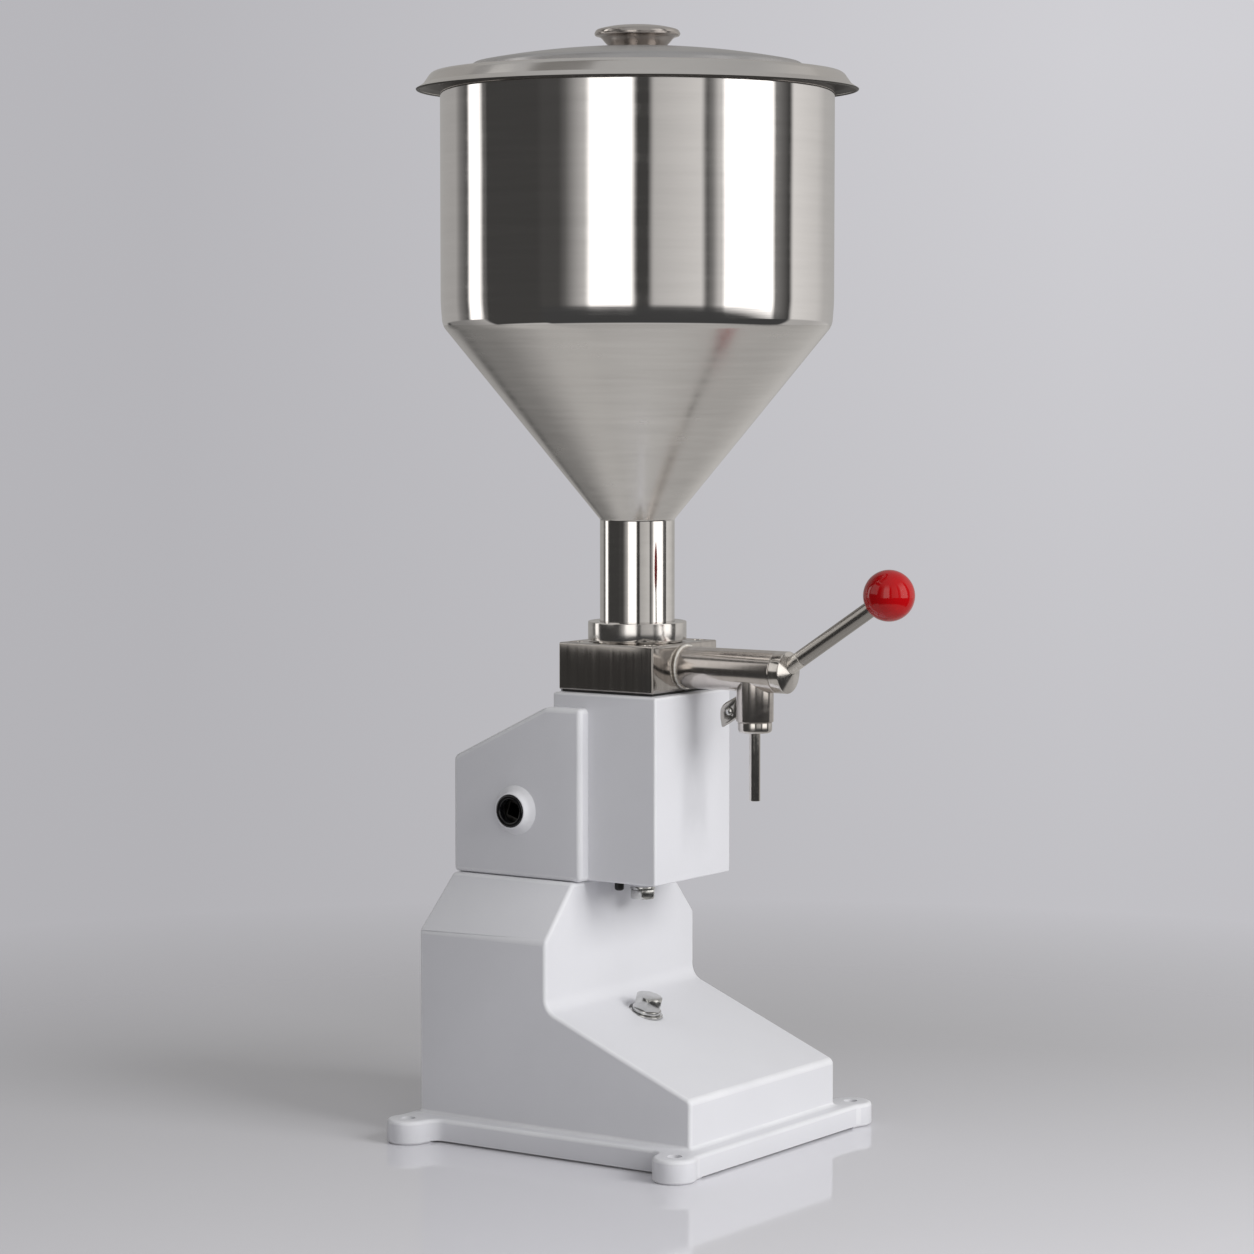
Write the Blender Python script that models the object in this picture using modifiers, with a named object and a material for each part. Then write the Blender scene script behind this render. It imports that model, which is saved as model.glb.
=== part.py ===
"""Hand-worked bench-top paste filler with a hopper, a rotary valve and a crank-driven piston pump.

Metres, +Z up.  The nozzle points to -Y, which is the front, and +X is the machine's right side.
Every piece hangs from one empty, machine_frame, whose Z axis is the axis of the hopper, the valve
block and the pump.  That empty is shifted along Y so that the world's origin lies under the middle
of the whole machine, on the bench.  Each moving group has an empty of its own on its joint's axis.
"""

import math

import bmesh
import bpy
from mathutils import Vector

# Clearances
SEAT_GAP = 0.0003
RUNNING_GAP = 0.0001
SHANK_GAP = 0.0002
OVERRUN = 0.004

# Facets round a turned piece
HOPPER_STEPS = 48
TURNED_STEPS = 32
FITTING_STEPS = 24
SMALL_STEPS = 16
CORNER_STEPS = 3
MERGE_DISTANCE = 0.00001
SHARP_ANGLE = math.radians(35)
FLAT_ANGLE = math.radians(0.5)

# Stand: a hollow casting, open below, with a sloping front and chamfered shoulders
STAND_HALF_WIDTH = 0.092
STAND_NOSE_Y = -0.1054
STAND_REAR_Y = 0.121
STAND_TOP_Z = 0.1823
STAND_WALL = 0.006
NOSE_TOP_Z = 0.0494
SLOPE_TOP_Z = 0.099
COLUMN_FRONT_Y = 0.0132
SHOULDER_Z = 0.1452
ROOF_MARGIN = 0.002
ROOF_REAR_Y = 0.1168
SLOPE_FILLET = 0.010
NOSE_ROUND = 0.007
STAND_EDGE = 0.003

# Flange and lugs round the stand's foot
FLANGE_TOP_Z = 0.0165
FLANGE_LIFT = 0.0015
FLANGE_SIDE = 0.012
FLANGE_FRONT = 0.0131
FLANGE_REAR = 0.0075
LUG_RADIUS = 0.015
LUG_NECK_RADIUS = 0.010
LUG_OUTSET = 0.0085
LUG_FRONT_INSET = 0.012
LUG_REAR_INSET = 0.013
LUG_HOLE_RADIUS = 0.005

# Bolt on the sloping front
PLATFORM_BOLT_X = -0.0076
PLATFORM_BOLT_DROP = 0.0258
PLATFORM_BOLT_TILT = math.radians(15)
PLATFORM_BOLT_RADIUS = 0.006
PLATFORM_BOLT_FLATS = 0.018
PLATFORM_BOLT_HEAD = 0.0088
PLATFORM_BOLT_LENGTH = 0.020
PLATFORM_WASHER_RADIUS = 0.012
PLATFORM_WASHER_THICKNESS = 0.002
PLATFORM_SPRING_RADIUS = 0.0103
PLATFORM_SPRING_THICKNESS = 0.0024
PLATFORM_PAD_RADIUS = 0.013
PLATFORM_SINK = 0.0016

# Head: the pump box and the wider crank housing behind it
BOX_HALF_WIDTH = 0.0469
BOX_FRONT_Y = -0.0467
BOX_REAR_Y = 0.0386
BOX_HEIGHT = 0.1296
BOX_LIFT = 0.0006
BOX_WALL = 0.006
BOX_TOP_WALL = 0.008
BOX_EDGE = 0.002
HOUSING_HALF_WIDTH = 0.0565
HOUSING_FRONT_Y = 0.009
HOUSING_REAR_Y = 0.1178
HOUSING_KNEE_Y = 0.039
HOUSING_TOP_STEP = 0.0099
HOUSING_SLOPE_DROP = 0.0382
HOUSING_WALL = 0.005
HOUSING_EDGE = 0.0045
POST_RADIUS = 0.009
POST_INSET = 0.013
POST_FRONT_INSET = 0.018
POST_REAR_INSET = 0.0148
POST_HEIGHT = 0.020

# Hidden bolts between the head and the stand
HEAD_BOLT_RADIUS = 0.004
HEAD_BOLT_FLATS = 0.013
HEAD_BOLT_HEAD = 0.0053
HEAD_BOLT_GRIP = 0.021

# Pump: cylinder, piston, rod and crosshead on the machine's axis
STROKE = 0.040
CYLINDER_BORE_RADIUS = 0.020
CYLINDER_WALL = 0.005
CYLINDER_LENGTH = 0.0527
CYLINDER_FLANGE_RADIUS = 0.029
CYLINDER_FLANGE = 0.003
PISTON_RADIUS = 0.0196
PISTON_LENGTH = 0.012
PISTON_TOP_GAP = 0.0002
PISTON_RECESS_RADIUS = 0.0088
PISTON_FLOOR = 0.0052
PISTON_STUD_RADIUS = 0.004
SEAL_RADIUS = 0.01985
SEAL_INNER_RADIUS = 0.0169
SEAL_HEIGHT = 0.002
SEAL_MARGIN = 0.0018
SEAL_LIP = 0.0005
PISTON_NUT_FLATS = 0.013
PISTON_NUT_HEIGHT = 0.0062
ROD_RADIUS = 0.006
ROD_SOCKET = 0.0065
CROSSHEAD_HALF_WIDTH = 0.0075
CROSSHEAD_HALF_DEPTH = 0.011
CROSSHEAD_ABOVE = 0.012
CROSSHEAD_BELOW = 0.016
CROSSHEAD_ARM = 0.0045
CROSSHEAD_ARM_HALF_DEPTH = 0.0055
CROSSHEAD_ARM_OUTSIDE = 0.004
GUIDE_X = 0.022
GUIDE_RADIUS = 0.0033
GUIDE_BELOW = 0.0089
GUIDE_ABOVE = 0.067

# Crank: cross shaft, forked arm and pin
SHAFT_HEIGHT = 0.0467
SHAFT_Y = 0.0638
SHAFT_RADIUS = 0.008
SHAFT_RECESS = 0.0055
SOCKET_SIDE = 0.0095
SOCKET_DEPTH = 0.014
CRANK_RADIUS = 0.0655
CRANK_PIN_RADIUS = 0.004
CRANK_PIN_GAP = 0.00025
SLOT_END_GAP = 0.0004
ARM_HALF_WIDTH = 0.0145
ARM_FORK_GAP = 0.0006
ARM_HUB_RADIUS = 0.015
ARM_TIP_RADIUS = 0.0075
ARM_FORK_ROOT = 0.018
SET_SCREW_RADIUS = 0.003
SET_SCREW_LENGTH = 0.0055
SET_SCREW_KEY = 0.003
SET_SCREW_KEY_DEPTH = 0.002

# Bosses and bushes on the head's sides
BOSS_HEIGHT = 0.007
BOSS_BASE_RADIUS = 0.0163
BOSS_WAIST_RADIUS = 0.0138
BOSS_FACE_RADIUS = 0.0124
BOSS_EDGE = 0.0006
BUSH_RADIUS = 0.0113
BUSH_PROUD = 0.0005
BUSH_EDGE = 0.0008
BUSH_LENGTH = 0.0135

# Stop bolt under the head
STOP_BOLT_Y = -0.0046
STOP_BOLT_RADIUS = 0.005
STOP_BOLT_FLATS = 0.016
STOP_BOLT_HEAD = 0.0064
STOP_SPRING_RADIUS = 0.0087
STOP_SPRING_THICKNESS = 0.0022
STOP_PAD_RADIUS = 0.0095
STOP_PAD_HEIGHT = 0.0075
SPRING_SPLIT = 0.0012

# Valve block
BLOCK_HALF_WIDTH = 0.0401
BLOCK_FRONT_Y = -0.0399
BLOCK_REAR_Y = 0.0386
BLOCK_HEIGHT = 0.0326
BLOCK_EDGE = 0.0009
BLOCK_GASKET = 0.001
BLOCK_GASKET_INSET = 0.0012
BLOCK_SCREW_INSET = 0.009
BLOCK_SCREW_RADIUS = 0.003
BLOCK_SCREW_HEAD_RADIUS = 0.005
BLOCK_SCREW_HEAD = 0.006
BLOCK_SCREW_SUNK = 0.0004
BLOCK_SCREW_KEY = 0.005
BLOCK_SCREW_KEY_DEPTH = 0.003
PORT_RADIUS = 0.008
SPIGOT_RADIUS = 0.031
SPIGOT_HEIGHT = 0.0076
FUNNEL_RADIUS = 0.0236
FUNNEL_DEPTH = 0.0117

# Nut and gasket that hold the hopper's neck
HOPPER_NUT_RADIUS = 0.0342
HOPPER_NUT_STANDOFF = 0.0011
HOPPER_NUT_LIP = 0.0021
HOPPER_NUT_EDGE = 0.0004
HOPPER_GASKET = 0.0013
NECK_FLANGE_RADIUS = 0.0305
NECK_FLANGE = 0.0017

# Hopper
HOPPER_RADIUS = 0.1356
HOPPER_WALL = 0.0015
CYLINDER_HEIGHT = 0.1687
CONE_HEIGHT = 0.1368
NECK_LENGTH = 0.0734
NECK_RADIUS = 0.0259
SHOULDER_ROUND = 0.014
NECK_ROUND = 0.004
RIM_WIDTH = 0.0035
RIM_DROP = 0.0055
RIM_ROUND = 0.0009

# Lid
LID_SHEET = 0.0012
LID_HOLE_RADIUS = 0.0027
CROWN_HEIGHT = 0.0186
CROWN_SAG = 0.0083
DOME_INSET = 0.0221
DOME_ROUND = 0.009
DOME_FOOT_SPREAD = 0.003
LEDGE_OVERHANG = 0.0028
LEDGE_ROUND = 0.003
SKIRT_WIDTH = 0.0074
SKIRT_DROP = 0.0077
LIP_WIDTH = 0.0065
LIP_DROP = 0.004
CROWN_SHARES = (0.35, 0.65, 0.85)

# Knob on the lid
KNOB_HEIGHT = 0.0135
KNOB_FOOT_RADIUS = 0.0190
KNOB_RIM_RADIUS = 0.0295
KNOB_WAIST_SHARES = ((0.17, 0.03), (0.47, 0.42), (0.86, 0.54))
KNOB_RIM_HEIGHT_SHARE = 0.64
KNOB_CROWN_SHARES = ((0.95, 0.73), (0.70, 0.89), (0.35, 0.97))
KNOB_BORE_RADIUS = 0.0026
KNOB_BORE_DEPTH = 0.0085
LID_SCREW_RADIUS = 0.0024
LID_SCREW_HEAD_RADIUS = 0.0048
LID_SCREW_HEAD = 0.0026

# Valve barrel in front of the block, with the outlet stub
BARREL_RADIUS = 0.0144
BARREL_FRONT_Y = -0.1158
BARREL_CHAMFER = 0.0006
BEAD_HEIGHT = 0.0012
BEAD_WIDTH = 0.0026
OUTLET_Y = -0.097
STUB_RADIUS = 0.01275
STUB_DROP = 0.0347
STUB_BORE_RADIUS = 0.0097
STUB_BORE_DEPTH = 0.0096
OUTLET_PORT_RADIUS = 0.004

# Valve core
CORE_RADIUS = 0.0105
CORE_PORT_RADIUS = 0.007
CORE_SIDE_PORT_RADIUS = 0.0055
CORE_PASSAGE_RADIUS = 0.005
CORE_OUTLET_RADIUS = 0.0035
CORE_SEAL_REAR_Y = 0.027
CORE_SEAL_FRONT_Y = -0.108
CORE_GROOVE_RADIUS = 0.0082
CORE_GROOVE_WIDTH = 0.0026
CORE_SEAL_SECTION = 0.001
CORE_SCREW_RADIUS = 0.003
CORE_SCREW_DEPTH = 0.014
CORE_SCREW_FLATS = 0.010
CORE_SCREW_HEAD = 0.004
CORE_WASHER_RADIUS = 0.013
CORE_WASHER = 0.002

# Cap and lever of the valve
CAP_RADIUS = 0.0144
CAP_SIDE = 0.0077
CAP_CONE = 0.0041
CAP_CHAMFER = 0.0004
CAP_SPIGOT_RADIUS = 0.0047
CAP_SPIGOT = 0.010
HANDLE_RADIUS = 0.0056
HANDLE_TILT = math.radians(33.4)
HANDLE_CROSS_DEPTH = 0.0093
HANDLE_FOOT = 0.0053
BALL_RADIUS = 0.0174
BALL_DISTANCE = 0.1001
BALL_SOCKET_SHARE = 0.30

# Nozzle and the nut that holds it in the stub
NOZZLE_RADIUS = 0.00378
NOZZLE_BORE_RADIUS = 0.0026
NOZZLE_BELOW = 0.0544
NOZZLE_FLANGE_RADIUS = 0.008
NOZZLE_FLANGE = 0.0015
NOZZLE_NUT_RADIUS = 0.01172
NOZZLE_NUT_HEIGHT = 0.0072
NOZZLE_NUT_ROUND = 0.002
NOZZLE_NUT_SPIGOT_RADIUS = 0.0094
NOZZLE_NUT_SPIGOT = 0.006
NOZZLE_GASKET = 0.001

# Curved lug behind the outlet and its screw
LUG_PLATE = 0.003
LUG_PLATE_EDGE = 0.0007
LUG_PLATE_REACH = 0.0146
LUG_PLATE_HEIGHT = 0.022
LUG_PLATE_FOOT = 0.0055
LUG_PLATE_SHARES = ((0.0, 1.0), (0.14, 0.99), (0.42, 0.89), (0.70, 0.79), (0.88, 0.69), (0.985, 0.57), (1.0, 0.44),
                    (0.99, 0.29), (0.95, 0.13), (0.91, 0.0), (0.46, 0.17), (0.20, 0.28), (0.0, 0.36))
LUG_SCREW_SHARES = (0.46, 0.52)
LUG_SCREW_RADIUS = 0.0014
LUG_SCREW_HEAD_RADIUS = 0.0026
LUG_SCREW_HEAD = 0.0014
LUG_SCREW_TAIL = 0.0012

# Heights that follow from the sizes above
HEAD_BOTTOM_Z = STAND_TOP_Z + SEAT_GAP
BOX_BOTTOM_Z = HEAD_BOTTOM_Z + BOX_LIFT
HEAD_TOP_Z = HEAD_BOTTOM_Z + BOX_HEIGHT
GASKET_Z = HEAD_TOP_Z + SEAT_GAP
BLOCK_BOTTOM_Z = GASKET_Z + BLOCK_GASKET + SEAT_GAP
BLOCK_TOP_Z = BLOCK_BOTTOM_Z + BLOCK_HEIGHT
VALVE_Z = BLOCK_BOTTOM_Z + BLOCK_HEIGHT / 2
SPIGOT_TOP_Z = BLOCK_TOP_Z + SPIGOT_HEIGHT
HOPPER_GASKET_Z = SPIGOT_TOP_Z + SEAT_GAP
NECK_BOTTOM_Z = HOPPER_GASKET_Z + HOPPER_GASKET + SEAT_GAP
NECK_TOP_Z = NECK_BOTTOM_Z + NECK_FLANGE + NECK_LENGTH
CONE_TOP_Z = NECK_TOP_Z + CONE_HEIGHT
HOPPER_TOP_Z = CONE_TOP_Z + CYLINDER_HEIGHT
LEDGE_Z = HOPPER_TOP_Z + SEAT_GAP + LID_SHEET
SHAFT_Z = HEAD_BOTTOM_Z + SHAFT_HEIGHT
PIN_REST_Z = SHAFT_Z - STROKE / 2
CRANK_HALF_SWING = math.asin(STROKE / 2 / CRANK_RADIUS)
BARREL_REAR_Y = BLOCK_FRONT_Y - SEAT_GAP
CORE_BORE_RADIUS = CORE_RADIUS + RUNNING_GAP
STUB_BOTTOM_Z = VALVE_Z - STUB_DROP
PISTON_TOP_Z = HEAD_TOP_Z - PISTON_TOP_GAP - STROKE
PISTON_BOTTOM_Z = PISTON_TOP_Z - PISTON_LENGTH
BLOCK_SCREW_X = BLOCK_HALF_WIDTH - BLOCK_SCREW_INSET
BLOCK_SCREW_FRONT_Y = BLOCK_FRONT_Y + BLOCK_SCREW_INSET
BLOCK_SCREW_REAR_Y = BLOCK_REAR_Y - BLOCK_SCREW_INSET
ROOF_HALF_WIDTH = HOUSING_HALF_WIDTH + ROOF_MARGIN
HOUSING_HEIGHT = BOX_HEIGHT - HOUSING_TOP_STEP
HOUSING_REAR_HEIGHT = HOUSING_HEIGHT - HOUSING_SLOPE_DROP
POST_X = HOUSING_HALF_WIDTH - POST_INSET
POST_FRONT_Y = HOUSING_FRONT_Y + POST_FRONT_INSET
POST_REAR_Y = HOUSING_REAR_Y - POST_REAR_INSET
FLANGE_HALF_WIDTH = STAND_HALF_WIDTH + FLANGE_SIDE
FLANGE_FRONT_Y = STAND_NOSE_Y - FLANGE_FRONT
FLANGE_REAR_Y = STAND_REAR_Y + FLANGE_REAR
LUG_X = FLANGE_HALF_WIDTH + LUG_OUTSET
LUG_FRONT_Y = FLANGE_FRONT_Y + LUG_FRONT_INSET
LUG_REAR_Y = FLANGE_REAR_Y - LUG_REAR_INSET
SLOPE_RISE = (SLOPE_TOP_Z - NOSE_TOP_Z) / (COLUMN_FRONT_Y - STAND_NOSE_Y)
CAP_APEX_Y = BARREL_FRONT_Y - SEAT_GAP - CAP_SIDE - CAP_CONE
HANDLE_CROSS_Y = CAP_APEX_Y + HANDLE_CROSS_DEPTH
BALL_Y = HANDLE_CROSS_Y - BALL_DISTANCE * math.cos(HANDLE_TILT)
DOME_RADIUS = HOPPER_RADIUS - DOME_INSET
LEDGE_RADIUS = HOPPER_RADIUS + LEDGE_OVERHANG
LID_RADIUS = LEDGE_RADIUS + SKIRT_WIDTH + LIP_WIDTH
FRAME_Y = (BALL_RADIUS - BALL_Y - LID_RADIUS) / 2

# Rotations that turn a drawn outline or a turned axis into place
AXIS_FORWARD = (math.pi / 2, 0, 0)
AXIS_RIGHT = (0, math.pi / 2, 0)
AXIS_LEFT = (0, -math.pi / 2, 0)
DRAWN_FROM_SIDE = (math.pi / 2, 0, math.pi / 2)

# Finishes: colour, roughness, metallic
WHITE_PAINT = ((0.78, 0.78, 0.80), 0.38, 0.0)
POLISHED_STEEL = ((0.66, 0.65, 0.63), 0.10, 1.0)
SATIN_STEEL = ((0.52, 0.51, 0.49), 0.28, 1.0)
DARK_STEEL = ((0.20, 0.20, 0.20), 0.35, 1.0)
ZINC = ((0.55, 0.56, 0.56), 0.32, 1.0)
RED_PLASTIC = ((0.60, 0.005, 0.012), 0.12, 0.0)
BLACK_PLASTIC = ((0.012, 0.012, 0.013), 0.22, 0.0)
BLACK_RUBBER = ((0.02, 0.02, 0.02), 0.70, 0.0)
WHITE_SEAL = ((0.75, 0.74, 0.70), 0.50, 0.0)


def new_collection(name):
    """Make a collection under the scene's own."""
    collection = bpy.data.collections.new(name)
    bpy.context.scene.collection.children.link(collection)
    return collection


for old in list(bpy.data.objects):
    bpy.data.objects.remove(old, do_unlink=True)

PARTS = new_collection("manual_paste_filler")
CUTTERS = new_collection("manual_paste_filler_cutters")


def pivot(name, location, parent=None, rotation=(0, 0, 0)):
    """Make an empty that carries pieces."""
    empty = bpy.data.objects.new(name, None)
    PARTS.objects.link(empty)
    empty.parent = parent
    empty.location = location
    empty.rotation_euler = rotation
    return empty


def place(obj, parent, location, rotation):
    """Put an object under its parent."""
    obj.parent = parent
    obj.location = location
    obj.rotation_euler = rotation
    return obj


def piece(name, mesh, finish, parent, location=(0, 0, 0), rotation=(0, 0, 0)):
    """Make a named piece with a material of its own."""
    colour, roughness, metallic = finish
    material = bpy.data.materials.new(name + "_finish")
    material.use_nodes = True
    shader = material.node_tree.nodes["Principled BSDF"]
    shader.inputs["Base Color"].default_value = (*colour, 1)
    shader.inputs["Roughness"].default_value = roughness
    shader.inputs["Metallic"].default_value = metallic
    mesh.materials.append(material)
    obj = bpy.data.objects.new(name, mesh)
    PARTS.objects.link(obj)
    return place(obj, parent, location, rotation)


def tool(name, mesh, parent, location=(0, 0, 0), rotation=(0, 0, 0)):
    """Make a hidden solid that a Boolean cuts with, joins or keeps."""
    obj = bpy.data.objects.new(name, mesh)
    CUTTERS.objects.link(obj)
    obj.hide_render = True
    obj.display_type = "WIRE"
    return place(obj, parent, location, rotation)


def smooth(mesh):
    """Shade a mesh smooth but for its sharp edges."""
    mesh.shade_smooth()
    mesh.set_sharp_from_angle(angle=SHARP_ANGLE)
    return mesh


def box_mesh(low, high):
    """Box between two corners."""
    mesh = bpy.data.meshes.new("box")
    form = bmesh.new()
    bmesh.ops.create_cube(form, size=1)
    size = [b - a for a, b in zip(low, high)]
    middle = [(a + b) / 2 for a, b in zip(low, high)]
    bmesh.ops.scale(form, vec=size, verts=form.verts)
    bmesh.ops.translate(form, vec=middle, verts=form.verts)
    form.to_mesh(mesh)
    form.free()
    return mesh


def round_mesh(radius, low, high, steps=TURNED_STEPS, top_radius=None):
    """Cylinder, cone or prism along Z from one height to another."""
    mesh = bpy.data.meshes.new("round")
    form = bmesh.new()
    upper = radius if top_radius is None else top_radius
    bmesh.ops.create_cone(form, cap_ends=True, segments=steps, radius1=radius, radius2=upper, depth=high - low)
    bmesh.ops.translate(form, vec=(0, 0, (low + high) / 2), verts=form.verts)
    form.to_mesh(mesh)
    form.free()
    return smooth(mesh)


def hex_mesh(flats, low, high):
    """Hexagonal prism of a size across its flats."""
    return round_mesh(flats / 2 / math.cos(math.pi / 6), low, high, steps=6)


def rounded(corners, closed=True, steps=CORNER_STEPS):
    """Turn corners (x, y, radius) into an outline with an arc at each corner that has a radius."""
    outline = []
    count = len(corners)
    for index, (x, y, radius) in enumerate(corners):
        here = Vector((x, y))
        end = index in (0, count - 1) and not closed
        if radius <= 0 or end:
            outline.append((x, y))
            continue
        before = (Vector(corners[index - 1][:2]) - here).normalized()
        after = (Vector(corners[(index + 1) % count][:2]) - here).normalized()
        half = before.angle(after) / 2
        centre = here + (before + after).normalized() * radius / math.sin(half)
        start = here + before * radius / math.tan(half) - centre
        stop = here + after * radius / math.tan(half) - centre
        first = math.atan2(start.y, start.x)
        sweep = math.atan2(stop.y, stop.x) - first
        sweep = (sweep + math.pi) % (2 * math.pi) - math.pi
        for step in range(steps + 1):
            angle = first + sweep * step / steps
            outline.append((centre.x + radius * math.cos(angle), centre.y + radius * math.sin(angle)))
    return outline


def plate_mesh(outline, low, high):
    """Flat outline drawn in XY, extruded along Z from one height to another."""
    curve = bpy.data.curves.new("outline", "CURVE")
    curve.dimensions = "2D"
    curve.fill_mode = "BOTH"
    curve.extrude = (high - low) / 2
    spline = curve.splines.new("POLY")
    spline.points.add(len(outline) - 1)
    for point, (x, y) in zip(spline.points, outline):
        point.co = (x, y, 0, 1)
    spline.use_cyclic_u = True
    drawn = bpy.data.objects.new("outline", curve)
    CUTTERS.objects.link(drawn)
    mesh = bpy.data.meshes.new_from_object(drawn.evaluated_get(bpy.context.evaluated_depsgraph_get()))
    bpy.data.objects.remove(drawn, do_unlink=True)
    form = bmesh.new()
    form.from_mesh(mesh)
    bmesh.ops.remove_doubles(form, verts=form.verts, dist=MERGE_DISTANCE)
    bmesh.ops.dissolve_limit(form, angle_limit=FLAT_ANGLE, verts=form.verts, edges=form.edges)
    bmesh.ops.translate(form, vec=(0, 0, (low + high) / 2), verts=form.verts)
    bmesh.ops.recalc_face_normals(form, faces=form.faces)
    form.to_mesh(mesh)
    form.free()
    return smooth(mesh)


def profile_mesh(profile, closed):
    """Chain of edges in the XZ plane, for a Screw modifier to turn."""
    mesh = bpy.data.meshes.new("profile")
    form = bmesh.new()
    corners = [form.verts.new((radius, 0, height)) for radius, height in profile]
    for first, second in zip(corners, corners[1:]):
        form.edges.new((first, second))
    if closed:
        form.edges.new((corners[-1], corners[0]))
    form.to_mesh(mesh)
    form.free()
    return mesh


def turn(obj, steps=TURNED_STEPS):
    """Turn an object's profile round its own Z axis."""
    screw = obj.modifiers.new("turned", "SCREW")
    screw.axis = "Z"
    screw.angle = 2 * math.pi
    screw.steps = steps
    screw.render_steps = steps
    screw.use_merge_vertices = True
    screw.merge_threshold = MERGE_DISTANCE
    screw.use_smooth_shade = True
    return obj


def turned(name, profile, finish, parent, location=(0, 0, 0), rotation=(0, 0, 0), steps=TURNED_STEPS, ring=False):
    """Make a turned piece; a ring's profile is a closed loop beside the axis."""
    return turn(piece(name, profile_mesh(profile, ring), finish, parent, location, rotation), steps)


def shell(obj, thickness):
    """Give an open surface its sheet thickness, inwards."""
    sheet = obj.modifiers.new("sheet", "SOLIDIFY")
    sheet.thickness = thickness
    sheet.offset = -1
    sheet.use_even_offset = True
    return obj


def bevel(obj, width, segments=2):
    """Round an object's sharp edges."""
    edge = obj.modifiers.new("edge", "BEVEL")
    edge.width = width
    edge.segments = segments
    edge.limit_method = "ANGLE"
    edge.angle_limit = SHARP_ANGLE
    return obj


def boolean(obj, operand, operation):
    """Cut, join or intersect an object with a hidden solid."""
    modifier = obj.modifiers.new(operand.name, "BOOLEAN")
    modifier.operation = operation
    modifier.solver = "EXACT"
    modifier.object = operand
    return obj


def cut(obj, *tools):
    """Take hidden solids away from an object."""
    for operand in tools:
        boolean(obj, operand, "DIFFERENCE")
    return obj


def join(obj, *tools):
    """Join hidden solids to an object."""
    for operand in tools:
        boolean(obj, operand, "UNION")
    return obj


def weld(obj):
    """Merge corners that a Boolean left on top of each other."""
    modifier = obj.modifiers.new("weld", "WELD")
    modifier.merge_threshold = MERGE_DISTANCE
    return obj


def ring_profile(inner, outer, low, high, edge=0):
    """Closed profile of a ring, with both outer corners chamfered."""
    if edge <= 0:
        return [(inner, high), (outer, high), (outer, low), (inner, low)]
    return [(inner, high), (outer - edge, high), (outer, high - edge), (outer, low + edge), (outer - edge, low),
            (inner, low)]


def lug_corner(side, end, foot_y, flange_y):
    """Plan outline of one lug, from the flange's side edge to its end edge or back."""
    neck = LUG_NECK_RADIUS
    reach = LUG_RADIUS + neck
    side_neck_x = FLANGE_HALF_WIDTH + neck
    side_neck_y = math.sqrt(reach ** 2 - (LUG_X - side_neck_x) ** 2)
    end_neck_y = abs(flange_y) + neck
    end_neck_x = math.sqrt(reach ** 2 - (end_neck_y - abs(foot_y)) ** 2)
    foot = Vector((LUG_X, abs(foot_y)))
    side_neck = Vector((side_neck_x, foot.y - side_neck_y))
    end_neck = Vector((foot.x - end_neck_x, end_neck_y))
    points = []
    first = math.pi
    last = math.atan2(foot.y - side_neck.y, foot.x - side_neck.x)
    for step in range(CORNER_STEPS + 1):
        angle = first + (last - first) * step / CORNER_STEPS
        points.append(side_neck + neck * Vector((math.cos(angle), math.sin(angle))))
    first = math.atan2(side_neck.y - foot.y, side_neck.x - foot.x)
    last = math.atan2(end_neck.y - foot.y, end_neck.x - foot.x)
    arc_steps = 3 * CORNER_STEPS
    for step in range(1, arc_steps):
        angle = first + (last - first) * step / arc_steps
        points.append(foot + LUG_RADIUS * Vector((math.cos(angle), math.sin(angle))))
    first = math.atan2(foot.y - end_neck.y, foot.x - end_neck.x)
    last = -math.pi / 2
    for step in range(CORNER_STEPS + 1):
        angle = first + (last - first) * step / CORNER_STEPS
        points.append(end_neck + neck * Vector((math.cos(angle), math.sin(angle))))
    placed = [(side * point.x, end * point.y) for point in points]
    return placed if side * end > 0 else placed[::-1]


def stand_solid(name, parent, inset, low):
    """Stand body, the overlap of its outline from the side and its outline from the front."""
    slope_inset = inset / math.cos(math.atan(SLOPE_RISE))
    fillet = SLOPE_FILLET if inset == 0 else 0
    nose = NOSE_ROUND if inset == 0 else 0
    from_side = rounded([
        (STAND_REAR_Y - inset, low, 0),
        (STAND_REAR_Y - inset, SHOULDER_Z - inset / 2, 0),
        (ROOF_REAR_Y - inset, STAND_TOP_Z - inset, 0),
        (COLUMN_FRONT_Y + inset, STAND_TOP_Z - inset, 0),
        (COLUMN_FRONT_Y + inset, SLOPE_TOP_Z - slope_inset + inset * SLOPE_RISE, fillet),
        (STAND_NOSE_Y + inset, NOSE_TOP_Z - slope_inset + inset * SLOPE_RISE, nose),
        (STAND_NOSE_Y + inset, low, 0),
    ])
    half_width = STAND_HALF_WIDTH - inset
    lean = (STAND_HALF_WIDTH - ROOF_HALF_WIDTH) / (STAND_TOP_Z - SHOULDER_Z)
    shoulder_z = SHOULDER_Z - inset / 2
    top_z = STAND_TOP_Z + OVERRUN
    top_half_width = half_width - lean * (top_z - shoulder_z)
    from_front = [
        (-half_width, low - OVERRUN),
        (half_width, low - OVERRUN),
        (half_width, shoulder_z),
        (top_half_width, top_z),
        (-top_half_width, top_z),
        (-half_width, shoulder_z),
    ]
    reach = STAND_HALF_WIDTH + OVERRUN
    body = tool(name, plate_mesh(from_side, -reach, reach), parent, rotation=DRAWN_FROM_SIDE)
    front_low = -STAND_REAR_Y - OVERRUN
    front_high = -STAND_NOSE_Y + OVERRUN
    mask = tool(name + "_mask", plate_mesh(from_front, front_low, front_high), parent, rotation=AXIS_FORWARD)
    return boolean(body, mask, "INTERSECT")


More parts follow.
